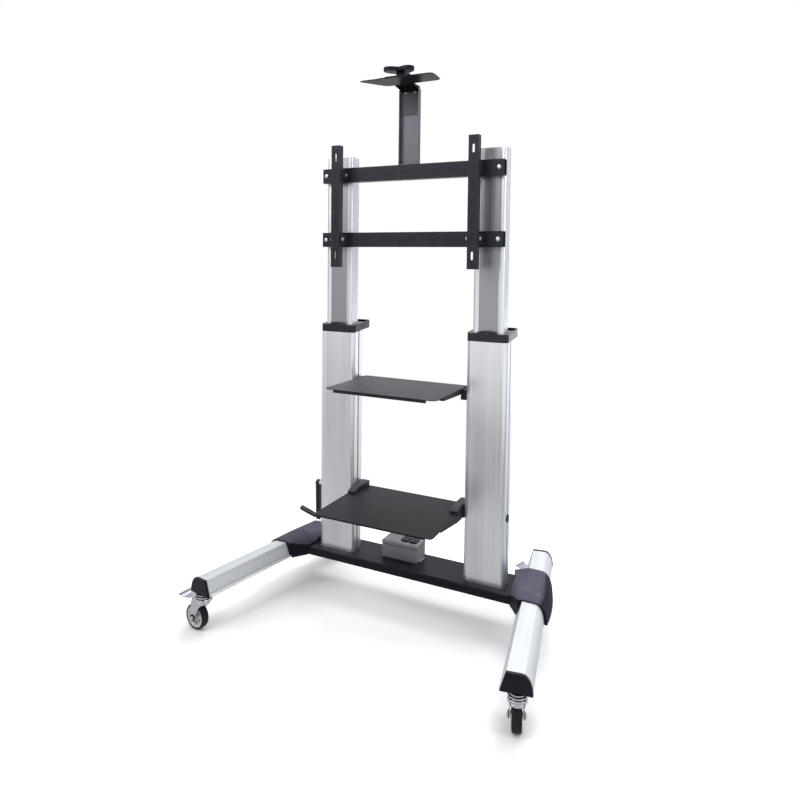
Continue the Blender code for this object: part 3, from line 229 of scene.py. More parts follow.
bpy.ops.object.select_all(action="DESELECT")
bpy.ops.mesh.primitive_circle_add(vertices=64, radius=14.0, fill_type="NGON", location=(0.0, 0.0, 0.0))
floor = bpy.context.object
floor.name = "floor"
floor_look = bpy.data.materials.new("floor_pale")
floor_look.use_nodes = True
tree = floor_look.node_tree
tree.nodes.clear()
out = add_node(tree, "ShaderNodeOutputMaterial")
matt = add_node(tree, "ShaderNodeBsdfDiffuse", Color=(0.84, 0.84, 0.845, 1.0))
glow = add_node(tree, "ShaderNodeEmission", Color=(1.0, 1.0, 1.0, 1.0))
# Painted shade: the Ambient Occlusion holds back the camera's glow next to parts, so the floor is drawn darker
# there.
contact_shade_ao = add_node(tree, "ShaderNodeAmbientOcclusion", Distance=OPEN_REACH, samples=8)
painted_contact_shade = math_node(tree, "POWER", contact_shade_ao.outputs["AO"], 2.2)
both = add_node(tree, "ShaderNodeAddShader")
white = add_node(tree, "ShaderNodeEmission", Color=(1.0, 1.0, 1.0, 1.0))
path = add_node(tree, "ShaderNodeLightPath")
lift = math_node(tree, "MULTIPLY", painted_contact_shade, FLOOR_GLOW)
wire(tree, math_node(tree, "MULTIPLY", path.outputs["Is Camera Ray"], lift), glow.inputs["Strength"])
place = add_node(tree, "ShaderNodeTexCoord")
reach = add_node(tree, "ShaderNodeVectorMath", operation="LENGTH")
wire(tree, place.outputs["Object"], reach.inputs[0])
axes = add_node(tree, "ShaderNodeSeparateXYZ")
wire(tree, place.outputs["Object"], axes.inputs[0])
ahead = add_node(tree, "ShaderNodeVectorMath", operation="DOT_PRODUCT")
wire(tree, place.outputs["Object"], ahead.inputs[0])
ahead.inputs[1].default_value = LANE_ACROSS
mirror = span_node(tree, ahead.outputs["Value"], *LANE_NEAR, *LANE_DARK)
beyond = span_node(tree, ahead.outputs["Value"], *LANE_FAR, 0.0, FAR_BRIGHT)
mirror = math_node(tree, "ADD", mirror, beyond)
mirror = math_node(tree, "ADD", mirror, span_node(tree, axes.outputs["Y"], 1.0, 8.0, 0.0, 0.85))
mirror = math_node(tree, "MULTIPLY", mirror, span_node(tree, axes.outputs["Y"], 0.4, 2.0, 1.0, 1.35))
mirror = math_node(tree, "MULTIPLY", mirror, path.outputs["Is Glossy Ray"])
seen = math_node(tree, "ADD", path.outputs["Is Camera Ray"], mirror)
wire(tree, seen, white.inputs["Strength"])
wire(tree, matt.outputs[0], both.inputs[0])
wire(tree, glow.outputs[0], both.inputs[1])
fade = span_node(tree, reach.outputs["Value"], FADE_START, FADE_END)
fade = math_node(tree, "MULTIPLY", fade, path.outputs["Is Camera Ray"])
fade = math_node(tree, "MAXIMUM", fade, path.outputs["Is Glossy Ray"])
mix = add_node(tree, "ShaderNodeMixShader")
wire(tree, fade, mix.inputs["Fac"])
wire(tree, both.outputs[0], mix.inputs[1])
wire(tree, white.outputs[0], mix.inputs[2])
wire(tree, mix.outputs[0], out.inputs["Surface"])
floor.data.materials.append(floor_look)
print("floor", tuple(round(v, 1) for v in floor.dimensions))

# %% [markdown]
# ## Shared effects
#
# A few effects turn up in nearly every finish, so each is built once as a node group.  Fine grain is the
# tiny unevenness of a moulded or powder-coated skin.  It gives a value for colour and roughness and a
# height for a Bump node.

# %% Fine grain
def new_group(name, inputs, outputs):
    """An empty shader node group with float or vector sockets; gives the tree and its two end nodes."""
    tree = bpy.data.node_groups.new(name, "ShaderNodeTree")
    for label, kind, value in inputs:
        socket = tree.interface.new_socket(name=label, in_out="INPUT", socket_type=kind)
        if kind == "NodeSocketFloat":
            socket.default_value = value
    for label, kind in outputs:
        tree.interface.new_socket(name=label, in_out="OUTPUT", socket_type=kind)
    return tree, tree.nodes.new("NodeGroupInput"), tree.nodes.new("NodeGroupOutput")


VEC = "NodeSocketVector"
NUM = "NodeSocketFloat"
grain, start, end = new_group(
    "fine_grain", [("Place", VEC, None), ("Size", NUM, 900.0)], [("Value", NUM), ("Height", NUM)])
speck = add_node(grain, "ShaderNodeTexNoise", Detail=2.0, Roughness=0.6)
wire(grain, start.outputs["Place"], speck.inputs["Vector"])
wire(grain, start.outputs["Size"], speck.inputs["Scale"])
soft = add_node(grain, "ShaderNodeTexNoise", Scale=22.0, Detail=3.0)
wire(grain, start.outputs["Place"], soft.inputs["Vector"])
grain_value = math_node(grain, "MULTIPLY", speck.outputs[0], 0.45)
grain_value = math_node(grain, "ADD", grain_value, math_node(grain, "MULTIPLY", soft.outputs[0], 0.55))
wire(grain, grain_value, end.inputs["Value"])
wire(grain, speck.outputs[0], end.inputs["Height"])
print("group", grain.name)

# %% [markdown]
# An extruded bar keeps the fine lines of its die along its whole length.  Noise that is squeezed hard
# across the bar and stretched along it gives such lines.  The group expects the length of the bar on the
# third axis, and each material turns its own coordinates to suit.

# %% Die lines
lines, start, end = new_group(
    "die_lines", [("Place", VEC, None), ("Fine", NUM, 180.0)], [("Value", NUM), ("Broad", NUM)])
parts = add_node(lines, "ShaderNodeSeparateXYZ")
wire(lines, start.outputs["Place"], parts.inputs[0])
thin = add_node(lines, "ShaderNodeCombineXYZ")
for axis in "XY":
    wire(lines, math_node(lines, "MULTIPLY", parts.outputs[axis], start.outputs["Fine"]), thin.inputs[axis])
wire(lines, math_node(lines, "MULTIPLY", parts.outputs["Z"], 1.2), thin.inputs["Z"])
die = add_node(lines, "ShaderNodeTexNoise", Scale=1.0, Detail=3.0, Roughness=0.7)
wire(lines, thin.outputs[0], die.inputs["Vector"])
wide = add_node(lines, "ShaderNodeCombineXYZ")
for axis in "XY":
    wire(lines, math_node(lines, "MULTIPLY", parts.outputs[axis], 34.0), wide.inputs[axis])
wire(lines, math_node(lines, "MULTIPLY", parts.outputs["Z"], 0.8), wide.inputs["Z"])
band = add_node(lines, "ShaderNodeTexNoise", Scale=1.0, Detail=2.0)
wire(lines, wide.outputs[0], band.inputs["Vector"])
wire(lines, die.outputs[0], end.inputs["Value"])
wire(lines, band.outputs[0], end.inputs["Broad"])
print("group", lines.name)

# %% [markdown]
# Edges are where hands, cloths and door frames rub.  A Bevel node gives the normal as it would be on a
# rounded edge.  Where that differs from the true normal there is an edge, and noise breaks the line up.  The
# same mask also paints a highlight along edges where a rounded edge would catch the light, most of all on
# the beam.

# %% Edge wear and painted highlight
wear_highlight_group, start, end = new_group(
    "edge_wear_and_highlight", [("Place", VEC, None), ("Width", NUM, 0.0012), ("Amount", NUM, 1.0)], [("Mask", NUM)])
rounded = add_node(wear_highlight_group, "ShaderNodeBevel", samples=4)
wire(wear_highlight_group, start.outputs["Width"], rounded.inputs["Radius"])
true = add_node(wear_highlight_group, "ShaderNodeNewGeometry")
match = add_node(wear_highlight_group, "ShaderNodeVectorMath", operation="DOT_PRODUCT")
wire(wear_highlight_group, rounded.outputs[0], match.inputs[0])
wire(wear_highlight_group, true.outputs["Normal"], match.inputs[1])
wear_highlight_mask = span_node(wear_highlight_group, match.outputs["Value"], 0.995, 0.86)
broken = add_node(wear_highlight_group, "ShaderNodeTexNoise", Scale=70.0, Detail=4.0)
wire(wear_highlight_group, start.outputs["Place"], broken.inputs["Vector"])
wear_highlight_mask = math_node(wear_highlight_group, "MULTIPLY", wear_highlight_mask, span_node(wear_highlight_group, broken.outputs[0], 0.38, 0.62))
wear_highlight_mask = math_node(wear_highlight_group, "MULTIPLY", wear_highlight_mask, start.outputs["Amount"], clamp=True)
wire(wear_highlight_group, wear_highlight_mask, end.inputs["Mask"])
print("group", wear_highlight_group.name)

# %% [markdown]
# A little dust settles on whatever lies nearly level, and the same mask paints a sheen of light on level
# tops.  The mask is the upward part of the surface normal times a soft cloudy noise.  Each material uses it
# to lighten its colour slightly and to dull its shine.  On the corner covers, with a pale bluish colour, it
# is mostly a painted sheen.

# %% Dust and painted sheen
dust_sheen_group, start, end = new_group("settled_dust_and_painted_sheen", [("Place", VEC, None), ("Amount", NUM, 1.0)], [("Mask", NUM)])
surface = add_node(dust_sheen_group, "ShaderNodeNewGeometry")
height = add_node(dust_sheen_group, "ShaderNodeSeparateXYZ")
wire(dust_sheen_group, surface.outputs["Normal"], height.inputs[0])
cloud = add_node(dust_sheen_group, "ShaderNodeTexNoise", Scale=9.0, Detail=6.0, Roughness=0.65)
wire(dust_sheen_group, start.outputs["Place"], cloud.inputs["Vector"])
level = span_node(dust_sheen_group, height.outputs["Z"], 0.78, 0.985)
patchy = span_node(dust_sheen_group, cloud.outputs[0], 0.30, 0.75, 0.55, 1.0)
dust_sheen_mask = math_node(dust_sheen_group, "MULTIPLY", level, patchy)
wire(dust_sheen_group, math_node(dust_sheen_group, "MULTIPLY", dust_sheen_mask, start.outputs["Amount"], clamp=True), end.inputs["Mask"])
print("group", dust_sheen_group.name)


# %% [markdown]
# ## Finishes
#
# All finishes share one recipe: a base colour that drifts a little, a roughness that drifts with it, wear
# and a painted highlight on the edges, dust and a painted sheen of light on top, and a faint bump.  These
# helpers lay the recipe down, so that each finish below only says what is its own.  Every highlight is
# tinted a little cool, as in the picture.

# %% The common recipe
def place_socket(tree):
    """Object coordinates, which stay with the piece when it moves."""
    return add_node(tree, "ShaderNodeTexCoord").outputs["Object"]


def use_group(tree, group, place, **values):
    """Puts a shared group into a material and feeds it the place and its own numbers."""
    node = tree.nodes.new("ShaderNodeGroup")
    node.node_tree = group
    wire(tree, place, node.inputs["Place"])
    for key, value in values.items():
        node.inputs[key].default_value = value
    return node


def mix_colour(tree, factor, first, second):
    """Mixes two colours, each a socket or three numbers; gives back the output."""
    node = tree.nodes.new("ShaderNodeMix")
    node.data_type = "RGBA"
    wire(tree, factor, node.inputs["Factor"])
    for socket, value in ((node.inputs[6], first), (node.inputs[7], second)):
        if isinstance(value, tuple):
            socket.default_value = (value[0], value[1], value[2], 1.0)
        else:
            wire(tree, value, socket)
    return node.outputs[2]


def finish(name, metallic=0.0, specular=0.5, ior=1.5):
    """A new material with its shader; plain numbers are set on the shader's own sockets."""
    material = bpy.data.materials.new(name)
    material.use_nodes = True
    tree = material.node_tree
    shader = tree.nodes["Principled BSDF"]
    shader.inputs["Metallic"].default_value = metallic
    shader.inputs["Specular IOR Level"].default_value = specular
    shader.inputs["IOR"].default_value = ior
    shader.inputs["Specular Tint"].default_value = (0.82, 0.86, 1.0, 1.0)
    return material, tree, shader


def bump_from(tree, shader, height, distance):
    """Feeds a height into the shader's normal through a Bump node."""
    node = add_node(tree, "ShaderNodeBump", Strength=1.0, Distance=distance)
    wire(tree, height, node.inputs["Height"])
    wire(tree, node.outputs[0], shader.inputs["Normal"])


def moulded(name, colour, lighter, rough, grain_size=900.0, bump=0.00004, wear_highlight_amount=0.35,
            dust_sheen_amount=0.25, worn_or_highlit=(0.10, 0.10, 0.11), metallic=0.0, specular=0.5,
            wear_highlight_width=0.0012, dust_sheen_colour=(0.32, 0.31, 0.30), ior=1.5):
    """A skin with grain: moulded plastic, rubber or powder coat, according to its numbers."""
    material, tree, shader = finish(name, metallic, specular, ior)
    place = place_socket(tree)
    skin = use_group(tree, grain, place, Size=grain_size)
    edges = use_group(tree, wear_highlight_group, place, Amount=wear_highlight_amount, Width=wear_highlight_width)
    top = use_group(tree, dust_sheen_group, place, Amount=dust_sheen_amount)
    base = mix_colour(tree, span_node(tree, skin.outputs["Value"], 0.35, 0.65), colour, lighter)
    # Worn edges, partly a painted highlight, lighten the colour.
    base = mix_colour(tree, edges.outputs["Mask"], base, worn_or_highlit)
    # Dust and a painted sheen of light lighten level tops; on the corner covers it is mostly the painted
    # sheen.
    base = mix_colour(tree, math_node(tree, "MULTIPLY", top.outputs["Mask"], 0.30), base, dust_sheen_colour)
    wire(tree, base, shader.inputs["Base Color"])
    shine = span_node(tree, skin.outputs["Value"], 0.3, 0.7, rough[0], rough[1])
    shine = math_node(tree, "ADD", shine, math_node(tree, "MULTIPLY", top.outputs["Mask"], 0.20))
    wire(tree, shine, shader.inputs["Roughness"])
    bump_from(tree, shader, skin.outputs["Height"], bump)
    return material


print("recipe ready")

# %% [markdown]
# Black parts come in eight skins.  The camera's knob is satin moulded plastic, and the end caps are a
# darker one.  The corner covers are dull, with a pale bluish painted sheen of light on top.  The collars and
# the crank are polished almost to gloss.  Sheet steel parts carry a fine powder coat; the lower shelf has a
# darker, duller copy of it as painted shade, and the beam is smooth with a bright painted highlight along
# its worn edges.  The tyres are matt rubber.

# %% Black finishes
satin_black = moulded(
    "satin_black", (0.010, 0.010, 0.015), (0.017, 0.017, 0.026), (0.32, 0.44), specular=0.10,
    dust_sheen_amount=0.15)
# Painted sheen: the pale bluish colour on the covers' tops stands for light falling on them.
cover_black = moulded(
    "cover_black", (0.009, 0.009, 0.014), (0.016, 0.016, 0.025), (0.42, 0.54), specular=0.16,
    dust_sheen_amount=1.0, dust_sheen_colour=(0.36, 0.36, 0.48), ior=1.22)
cap_black = moulded(
    "cap_black", (0.006, 0.006, 0.009), (0.010, 0.010, 0.014), (0.28, 0.38), specular=0.20)
gloss_black = moulded(
    "gloss_black", (0.006, 0.006, 0.009), (0.010, 0.010, 0.014), (0.14, 0.22), grain_size=500.0,
    bump=0.00002, wear_highlight_amount=0.7, worn_or_highlit=(0.20, 0.20, 0.23), wear_highlight_width=0.0020, specular=0.34)
powder_black = moulded(
    "powder_black", (0.014, 0.014, 0.018), (0.024, 0.024, 0.030), (0.36, 0.50), grain_size=1400.0,
    bump=0.00008, wear_highlight_amount=0.5, worn_or_highlit=(0.22, 0.22, 0.23), specular=0.22)
# Painted highlight: the beam's bright worn edges stand for light caught along them.
beam_black = moulded(
    "beam_black", (0.008, 0.008, 0.012), (0.014, 0.014, 0.021), (0.28, 0.40), wear_highlight_amount=1.0,
    worn_or_highlit=(0.24, 0.24, 0.27), wear_highlight_width=0.0030, specular=0.10, dust_sheen_amount=0.1)
# Painted shade: the lower shelf is the same powder coat as the other sheet steel, drawn darker and duller.
shelf_painted_shade_black = moulded(
    "shelf_painted_shade_black", (0.009, 0.009, 0.012), (0.015, 0.015, 0.019), (0.38, 0.50), grain_size=1400.0,
    bump=0.00008, wear_highlight_amount=0.5, worn_or_highlit=(0.20, 0.20, 0.21), dust_sheen_amount=0.10, specular=0.10)
rubber_black = moulded(
    "rubber_black", (0.008, 0.008, 0.009), (0.016, 0.016, 0.017), (0.48, 0.62), grain_size=600.0,
    bump=0.00012, wear_highlight_amount=0.2, worn_or_highlit=(0.09, 0.085, 0.08), specular=0.20)
print("black finishes", [m.name for m in bpy.data.materials if m.name.endswith("_black")])

# %% [markdown]
# The casters' sheet metal is zinc plated: bright, faintly blue, and faintly mottled by its crystals, which a
# Voronoi texture gives.  Where its rings crowd together an Ambient Occlusion node paints shade into the
# colour, so that they stand apart.  The wheel's core is pale moulded plastic.

# %% Zinc and wheel core
zinc, tree, shader = finish("zinc_plate", metallic=1.0)
place = place_socket(tree)
crystal = add_node(tree, "ShaderNodeTexVoronoi", Scale=240.0)
wire(tree, place, crystal.inputs["Vector"])
skin = use_group(tree, grain, place, Size=500.0)
edges = use_group(tree, wear_highlight_group, place, Amount=0.35)
mottle = math_node(tree, "MULTIPLY", crystal.outputs["Distance"], 0.6)
mottle = math_node(tree, "ADD", mottle, math_node(tree, "MULTIPLY", skin.outputs["Value"], 0.5), clamp=True)
base = mix_colour(tree, mottle, (0.52, 0.53, 0.56), (0.70, 0.71, 0.75))
base = mix_colour(tree, edges.outputs["Mask"], base, (0.78, 0.79, 0.81))
# Painted shade: the colour turns nearly black in the crevices between the rings.
cavity_ao = add_node(tree, "ShaderNodeAmbientOcclusion", Distance=0.012, samples=8)
painted_cavity_shade = span_node(tree, cavity_ao.outputs["AO"], 0.35, 0.85, 1.0, 0.0)
base = mix_colour(tree, painted_cavity_shade, base, (0.03, 0.03, 0.04))
wire(tree, base, shader.inputs["Base Color"])
wire(tree, span_node(tree, mottle, 0.0, 1.0, 0.30, 0.16), shader.inputs["Roughness"])
bump_from(tree, shader, skin.outputs["Height"], 0.000015)
core_grey = moulded(
    "core_grey", (0.50, 0.50, 0.48), (0.62, 0.62, 0.60), (0.38, 0.50), wear_highlight_amount=0.2, dust_sheen_amount=0.2,
    worn_or_highlit=(0.70, 0.70, 0.68))
print(zinc.name, core_grey.name)

# %% [markdown]
# The columns and legs are clear-anodised aluminium: satin, pale, and drawn with fine lines along their
# length.  The metal is not quite a mirror of the room, so a part of the colour is left diffuse, and a
# greater part on the legs.  A thin dark line of painted shade marks the groove along the inner side of each
# leg.

# %% Anodised aluminium
LEG_LEAN = 9.2         # how far each leg leans outward, in degrees
LEG_MIDDLE = 0.5441    # the leg's middle, in coordinates that are straightened along it
LEG_INNER = LEG_MIDDLE - 0.024
LEG_LINE = 0.1655      # height of the groove above the floor
LINE_HALF = 0.0008


def anodised(name, along, dark, light, metallic=0.80, rough=(0.26, 0.38)):
    """Satin aluminium; along(tree, place) gives coordinates with the bar's length on the third axis."""
    material, tree, shader = finish(name, metallic=metallic)
    place = place_socket(tree)
    drawn = use_group(tree, lines, along(tree, place))
    edges = use_group(tree, wear_highlight_group, place, Amount=0.4)
    blend = math_node(tree, "MULTIPLY", drawn.outputs["Value"], 0.4)
    blend = math_node(tree, "ADD", blend, math_node(tree, "MULTIPLY", drawn.outputs["Broad"], 0.6))
    blend = span_node(tree, blend, 0.28, 0.72)
    base = mix_colour(tree, blend, dark, light)
    base = mix_colour(tree, edges.outputs["Mask"], base, (0.93, 0.93, 0.94))
    wire(tree, base, shader.inputs["Base Color"])
    shine = span_node(tree, drawn.outputs["Value"], 0.3, 0.7, rough[0], rough[1])
    wire(tree, shine, shader.inputs["Roughness"])
    bump_from(tree, shader, drawn.outputs["Value"], 0.00003)
    return material, tree, shader, base


def upright(tree, place):
    """Coordinates for a bar that stands upright, which are the piece's own."""
    return place


def splayed(tree, place):
    """Coordinates that run along both legs, which lean outward to the front by the same angle."""
    parts = add_node(tree, "ShaderNodeSeparateXYZ")
    wire(tree, place, parts.inputs[0])
    across = math_node(tree, "ABSOLUTE", math_node(tree, "SUBTRACT", parts.outputs["X"], MID_X))
    slant = math_node(tree, "MULTIPLY", parts.outputs["Y"], math.tan(math.radians(LEG_LEAN)))
    straight = add_node(tree, "ShaderNodeCombineXYZ")
    wire(tree, math_node(tree, "ADD", across, slant), straight.inputs["X"])
    wire(tree, parts.outputs["Z"], straight.inputs["Y"])
    wire(tree, parts.outputs["Y"], straight.inputs["Z"])
    return straight.outputs[0]


column_metal = anodised("column_metal", upright, dark=(0.61, 0.62, 0.65), light=(0.81, 0.82, 0.84))[0]
leg_metal, tree, shader, base = anodised(
    "leg_metal", splayed, dark=(0.63, 0.645, 0.66), light=(0.74, 0.755, 0.77), metallic=0.45,
    rough=(0.40, 0.52))
parts = add_node(tree, "ShaderNodeSeparateXYZ")
wire(tree, splayed(tree, place_socket(tree)), parts.inputs[0])
inner_side = math_node(tree, "LESS_THAN", parts.outputs["X"], LEG_INNER)
# Painted shade: a thin dark line along the groove on the inner side of each leg.
groove_painted_shade = near_to(tree, parts.outputs["Y"], LEG_LINE, LINE_HALF)
groove_painted_shade = math_node(tree, "MULTIPLY", groove_painted_shade, inner_side)
wire(tree, mix_colour(tree, groove_painted_shade, base, (0.30, 0.30, 0.31)), shader.inputs["Base Color"])
print(column_metal.name, leg_metal.name)

# %% [markdown]
# The inner columns have a sunken panel down their front and back that is anodised darker.  Both columns
# share one material, so the panel is found from the distance to each column's middle and from its depth.

# %% Inner column with its grey panel
COLUMN_X = 0.3366
PANEL_HALF = 0.0385
PANEL_FRONT = 0.014
PANEL_BACK = 0.070
PANEL_REACH = 0.0012
inner_metal, tree, shader, base = anodised(
    "inner_metal", upright, dark=(0.58, 0.59, 0.62), light=(0.78, 0.79, 0.81))
place = place_socket(tree)
parts = add_node(tree, "ShaderNodeSeparateXYZ")
wire(tree, place, parts.inputs[0])
off = math_node(tree, "ABSOLUTE", math_node(tree, "SUBTRACT", parts.outputs["X"], MID_X))
off = math_node(tree, "ABSOLUTE", math_node(tree, "SUBTRACT", off, COLUMN_X))
inside = math_node(tree, "LESS_THAN", off, PANEL_HALF)
front = near_to(tree, parts.outputs["Y"], FACE_Y + PANEL_FRONT, PANEL_REACH)
back = near_to(tree, parts.outputs["Y"], FACE_Y + PANEL_BACK, PANEL_REACH)
panel = math_node(tree, "MULTIPLY", inside, math_node(tree, "MAXIMUM", front, back))
wire(tree, mix_colour(tree, panel, base, (0.30, 0.30, 0.325)), shader.inputs["Base Color"])
print(inner_metal.name, len(tree.nodes), "nodes")

# %% [markdown]
# The power box is grey painted steel, the camera's post is a darker grey, and shafts and screws are plain
# turned steel.  Two finishes change colour between two heights: the box has a dark seam under its lid, and
# the camera shelf, black on top, has a grey tongue that runs down in front of the post.

# %% Greys and steel
SEAM_LOW, SEAM_HIGH = 0.2362, 0.2388
TONGUE_LOW, TONGUE_HIGH = 1.90, 2.119


def banded(material, low, high, colour):
    """Gives a finish another colour between two heights above the floor."""
    tree = material.node_tree
    shader = tree.nodes["Principled BSDF"]
    before = shader.inputs["Base Color"].links[0].from_socket
    parts = add_node(tree, "ShaderNodeSeparateXYZ")
    wire(tree, place_socket(tree), parts.inputs[0])
    band = near_to(tree, parts.outputs["Z"], (low + high) / 2.0, (high - low) / 2.0)
    wire(tree, mix_colour(tree, band, before, colour), shader.inputs["Base Color"])


box_grey = moulded(
    "box_grey", (0.25, 0.25, 0.265), (0.32, 0.32, 0.340), (0.40, 0.50), grain_size=1200.0, bump=0.00006,
    wear_highlight_amount=0.4, worn_or_highlit=(0.42, 0.42, 0.44), dust_sheen_amount=0.1, metallic=0.1, specular=0.2)
banded(box_grey, SEAM_LOW, SEAM_HIGH, (0.015, 0.015, 0.017))
post_grey = moulded(
    "post_grey", (0.095, 0.095, 0.105), (0.125, 0.125, 0.137), (0.36, 0.48), grain_size=1200.0,
    bump=0.00006, wear_highlight_amount=0.4, worn_or_highlit=(0.30, 0.30, 0.31), metallic=0.3)
tongue_black = moulded(
    "tongue_black", (0.008, 0.008, 0.011), (0.013, 0.013, 0.018), (0.32, 0.44), specular=0.05)
banded(tongue_black, TONGUE_LOW, TONGUE_HIGH, (0.13, 0.13, 0.14))
steel = anodised("turned_steel", upright, dark=(0.40, 0.40, 0.42), light=(0.62, 0.62, 0.64))[0]
print(box_grey.name, post_grey.name, tongue_black.name, steel.name)

# %% [markdown]
# ## Rounding what the frame gives
#
# The frame's solids have knife-sharp edges and facets, because they are made for exact sizes.  Light never
# catches such an edge.  Each visible solid is therefore copied, its loose triangles merged and flat areas
# cleaned, its edges rounded by a small bevel, and its curves shaded smooth.  A Weighted Normal modifier lets
# the large faces stay flat.  The copy stands for the solid.
#
# The two corner covers get a little more.  Five points on the inside of each are moved, so that its rear
# corner draws in as it does in the picture, and its triangles are joined into quads, which shade evenly.

# %% A rounded copy
SMOOTH_ANGLE = math.radians(32.0)      # flatter edges than this are shaded smooth
SAME_POINT = 0.00002                   # points this close are merged, in metres
COVER_FLAT = math.radians(60.0)

# Points of the right cover before and after, measured like spot().
COVER_MOVES = [
    ((0.4580, 0.1060, 0.2115), (0.4350, 0.1068, 0.2172)),
    ((0.4580, 0.1060, 0.1803), (0.4350, 0.1068, 0.1803)),
    ((0.4535, 0.0858, 0.2115), (0.4430, 0.0860, 0.2160)),
    ((0.4535, 0.0858, 0.1803), (0.4430, 0.0860, 0.1803)),
    ((0.4696, 0.1262, 0.1803), (0.4600, 0.1285, 0.1803)),
]
FOUND_WITHIN = 0.0004


def only(obj):
    """Selects one object and nothing else."""
    bpy.ops.object.select_all(action="DESELECT")
    obj.select_set(True)
    bpy.context.view_layer.objects.active = obj


def body_of(node):
    """The body that a frame node rides on."""
    for name, nodes in frame["record"]["behaviour"]["bodies"].items():
        if node in nodes:
            return name
    return None


def move_points(piece, moves):
    """Moves single points of a copy, given for the right side; the left side mirrors them."""
    moved = 0
    for point in piece.data.vertices:
        side = 1.0 if point.co.x > MID_X else -1.0
        for old, new in moves:
            if (point.co - spot(side * old[0], old[1], old[2])).length < FOUND_WITHIN:
                point.co = spot(side * new[0], new[1], new[2])
                moved += 1
                break
    print("moved", moved, "points of", piece.name)


def soften(piece, width, angle):
    """Rounds the edges that are sharper than an angle."""
    soft = piece.modifiers.new("soft", "BEVEL")
    soft.width = width
    soft.segments = 2
    soft.limit_method = "ANGLE"
    soft.angle_limit = math.radians(angle)
    soft.harden_normals = False
    bpy.ops.object.modifier_apply(modifier="soft")


def rounded_copy(node, material, width, is_cover=False):
    """Copies a frame solid, rounds its edges and lets the copy stand for it."""
    source = bpy.data.objects[node]
    piece = bpy.data.objects.new("fine_" + node, source.data.copy())
    scene.collection.objects.link(piece)
    piece.data.materials.clear()
    piece.data.materials.append(material)
    only(piece)
    bpy.ops.object.mode_set(mode="EDIT")
    bpy.ops.mesh.select_all(action="SELECT")
    bpy.ops.mesh.remove_doubles(threshold=SAME_POINT)
    if is_cover:
        bpy.ops.object.mode_set(mode="OBJECT")
        move_points(piece, COVER_MOVES)
        bpy.ops.object.mode_set(mode="EDIT")
    bpy.ops.mesh.dissolve_limited(angle_limit=math.radians(1.0))
    if is_cover:
        bpy.ops.mesh.tris_convert_to_quads(face_threshold=COVER_FLAT, shape_threshold=COVER_FLAT)
    bpy.ops.object.mode_set(mode="OBJECT")
    if width:
        soften(piece, width, 38.0)
    bpy.ops.object.shade_smooth_by_angle(angle=SMOOTH_ANGLE)
    even = piece.modifiers.new("even", "WEIGHTED_NORMAL")
    even.weight = 50
    even.keep_sharp = True
    bpy.ops.object.modifier_apply(modifier="even")
    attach(piece, body_of(node))
    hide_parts(node)


# %% [markdown]
# The widths follow how each piece is made: an extrusion has crisp corners, a moulding has soft ones, and
# sheet metal is broken only a little.  The first line of the table that fits a name counts.  The last line
# is for the shafts and lead screws inside the casings, which are dressed in steel and left as they are.

# %% Round and dress every solid
# The start of a node's name, its finish, and how wide its edges are rounded, in metres.
FINISHES = [
    ("column_outer", column_metal, 0.0),
    ("column_inner", inner_metal, 0.0),
    ("leg_bar", leg_metal, 0.0006),
    ("leg_cap", cap_black, 0.0012),
    ("corner_cover", cover_black, 0.0012),
    ("base_beam", beam_black, 0.0014),
    ("column_collar", gloss_black, 0.0010),
    ("column_plug", cap_black, 0.0008),
    ("crank_arm", gloss_black, 0.0010),
    ("crank_grip", gloss_black, 0.0006),
    ("caster_head", zinc, 0.0004),
    ("caster_fork", zinc, 0.0006),
    ("caster_pedal", zinc, 0.0005),
    ("caster_core", core_grey, 0.0006),
    ("caster_tyre", rubber_black, 0.0006),
    ("shelf_upper_arm", powder_black, 0.0007),
    ("shelf_lower_arm", powder_black, 0.0007),
    ("shelf_lower", shelf_painted_shade_black, 0.0006),
    ("shelf_", powder_black, 0.0006),
    ("power_box", box_grey, 0.0006),
    ("power_outlet", cap_black, 0.0007),
    ("power_inlet", cap_black, 0.0005),
    ("tv_rail", powder_black, 0.0007),
    ("screen_arm", powder_black, 0.0006),
    ("camera_post", post_grey, 0.0006),
    ("camera_shelf", tongue_black, 0.0007),
    ("camera_knob", satin_black, 0.0022),
    ("", steel, 0.0),
]


def finish_for(node):
    """The first line of the table whose start fits the node's name."""
    return next(line for line in FINISHES if node.startswith(line[0]))


count = 0
for node in sorted(frame["nodes"]):
    start, material, width = finish_for(node)
    if start == "":
        obj = bpy.data.objects[node]
        obj.data.materials.clear()
        obj.data.materials.append(material)
        continue
    rounded_copy(node, material, width, is_cover=start == "corner_cover")
    count += 1
print("rounded", count, "solids")

# %% [markdown]
# ## Small parts
#
# What makes a stand look real are the small parts that the frame leaves out: nuts on the axles, holes in
# the wheels, screws, seals and vents.  Each kind is modelled once, standing on the plane z = 0 and looking
# up, and is then copied to its places.  These helpers select faces by where they look, select upright edges,
# and put the copies down, each with a mesh of its own.

# %% Helpers for modelling
def choose_nothing(obj):
    """Leaves edit mode with nothing selected in the mesh."""
    bpy.ops.object.mode_set(mode="OBJECT")
    for kind in (obj.data.polygons, obj.data.edges, obj.data.vertices):
        for element in kind:
            element.select = False


def choose_faces(obj, test):
    """In edit mode, selects the faces whose middle and normal pass a test, and nothing else."""
    choose_nothing(obj)
    for face in obj.data.polygons:
        face.select = test(face.center, face.normal)
    bpy.ops.object.mode_set(mode="EDIT")
    bpy.ops.mesh.select_mode(type="FACE")


def choose_uprights(obj):
    """In edit mode, selects the edges that run straight up."""
    choose_nothing(obj)
    for edge in obj.data.edges:
        a, b = (obj.data.vertices[i].co for i in edge.vertices)
        edge.select = abs(a.z - b.z) > 0.0005
    bpy.ops.object.mode_set(mode="EDIT")
    bpy.ops.mesh.select_mode(type="EDGE")


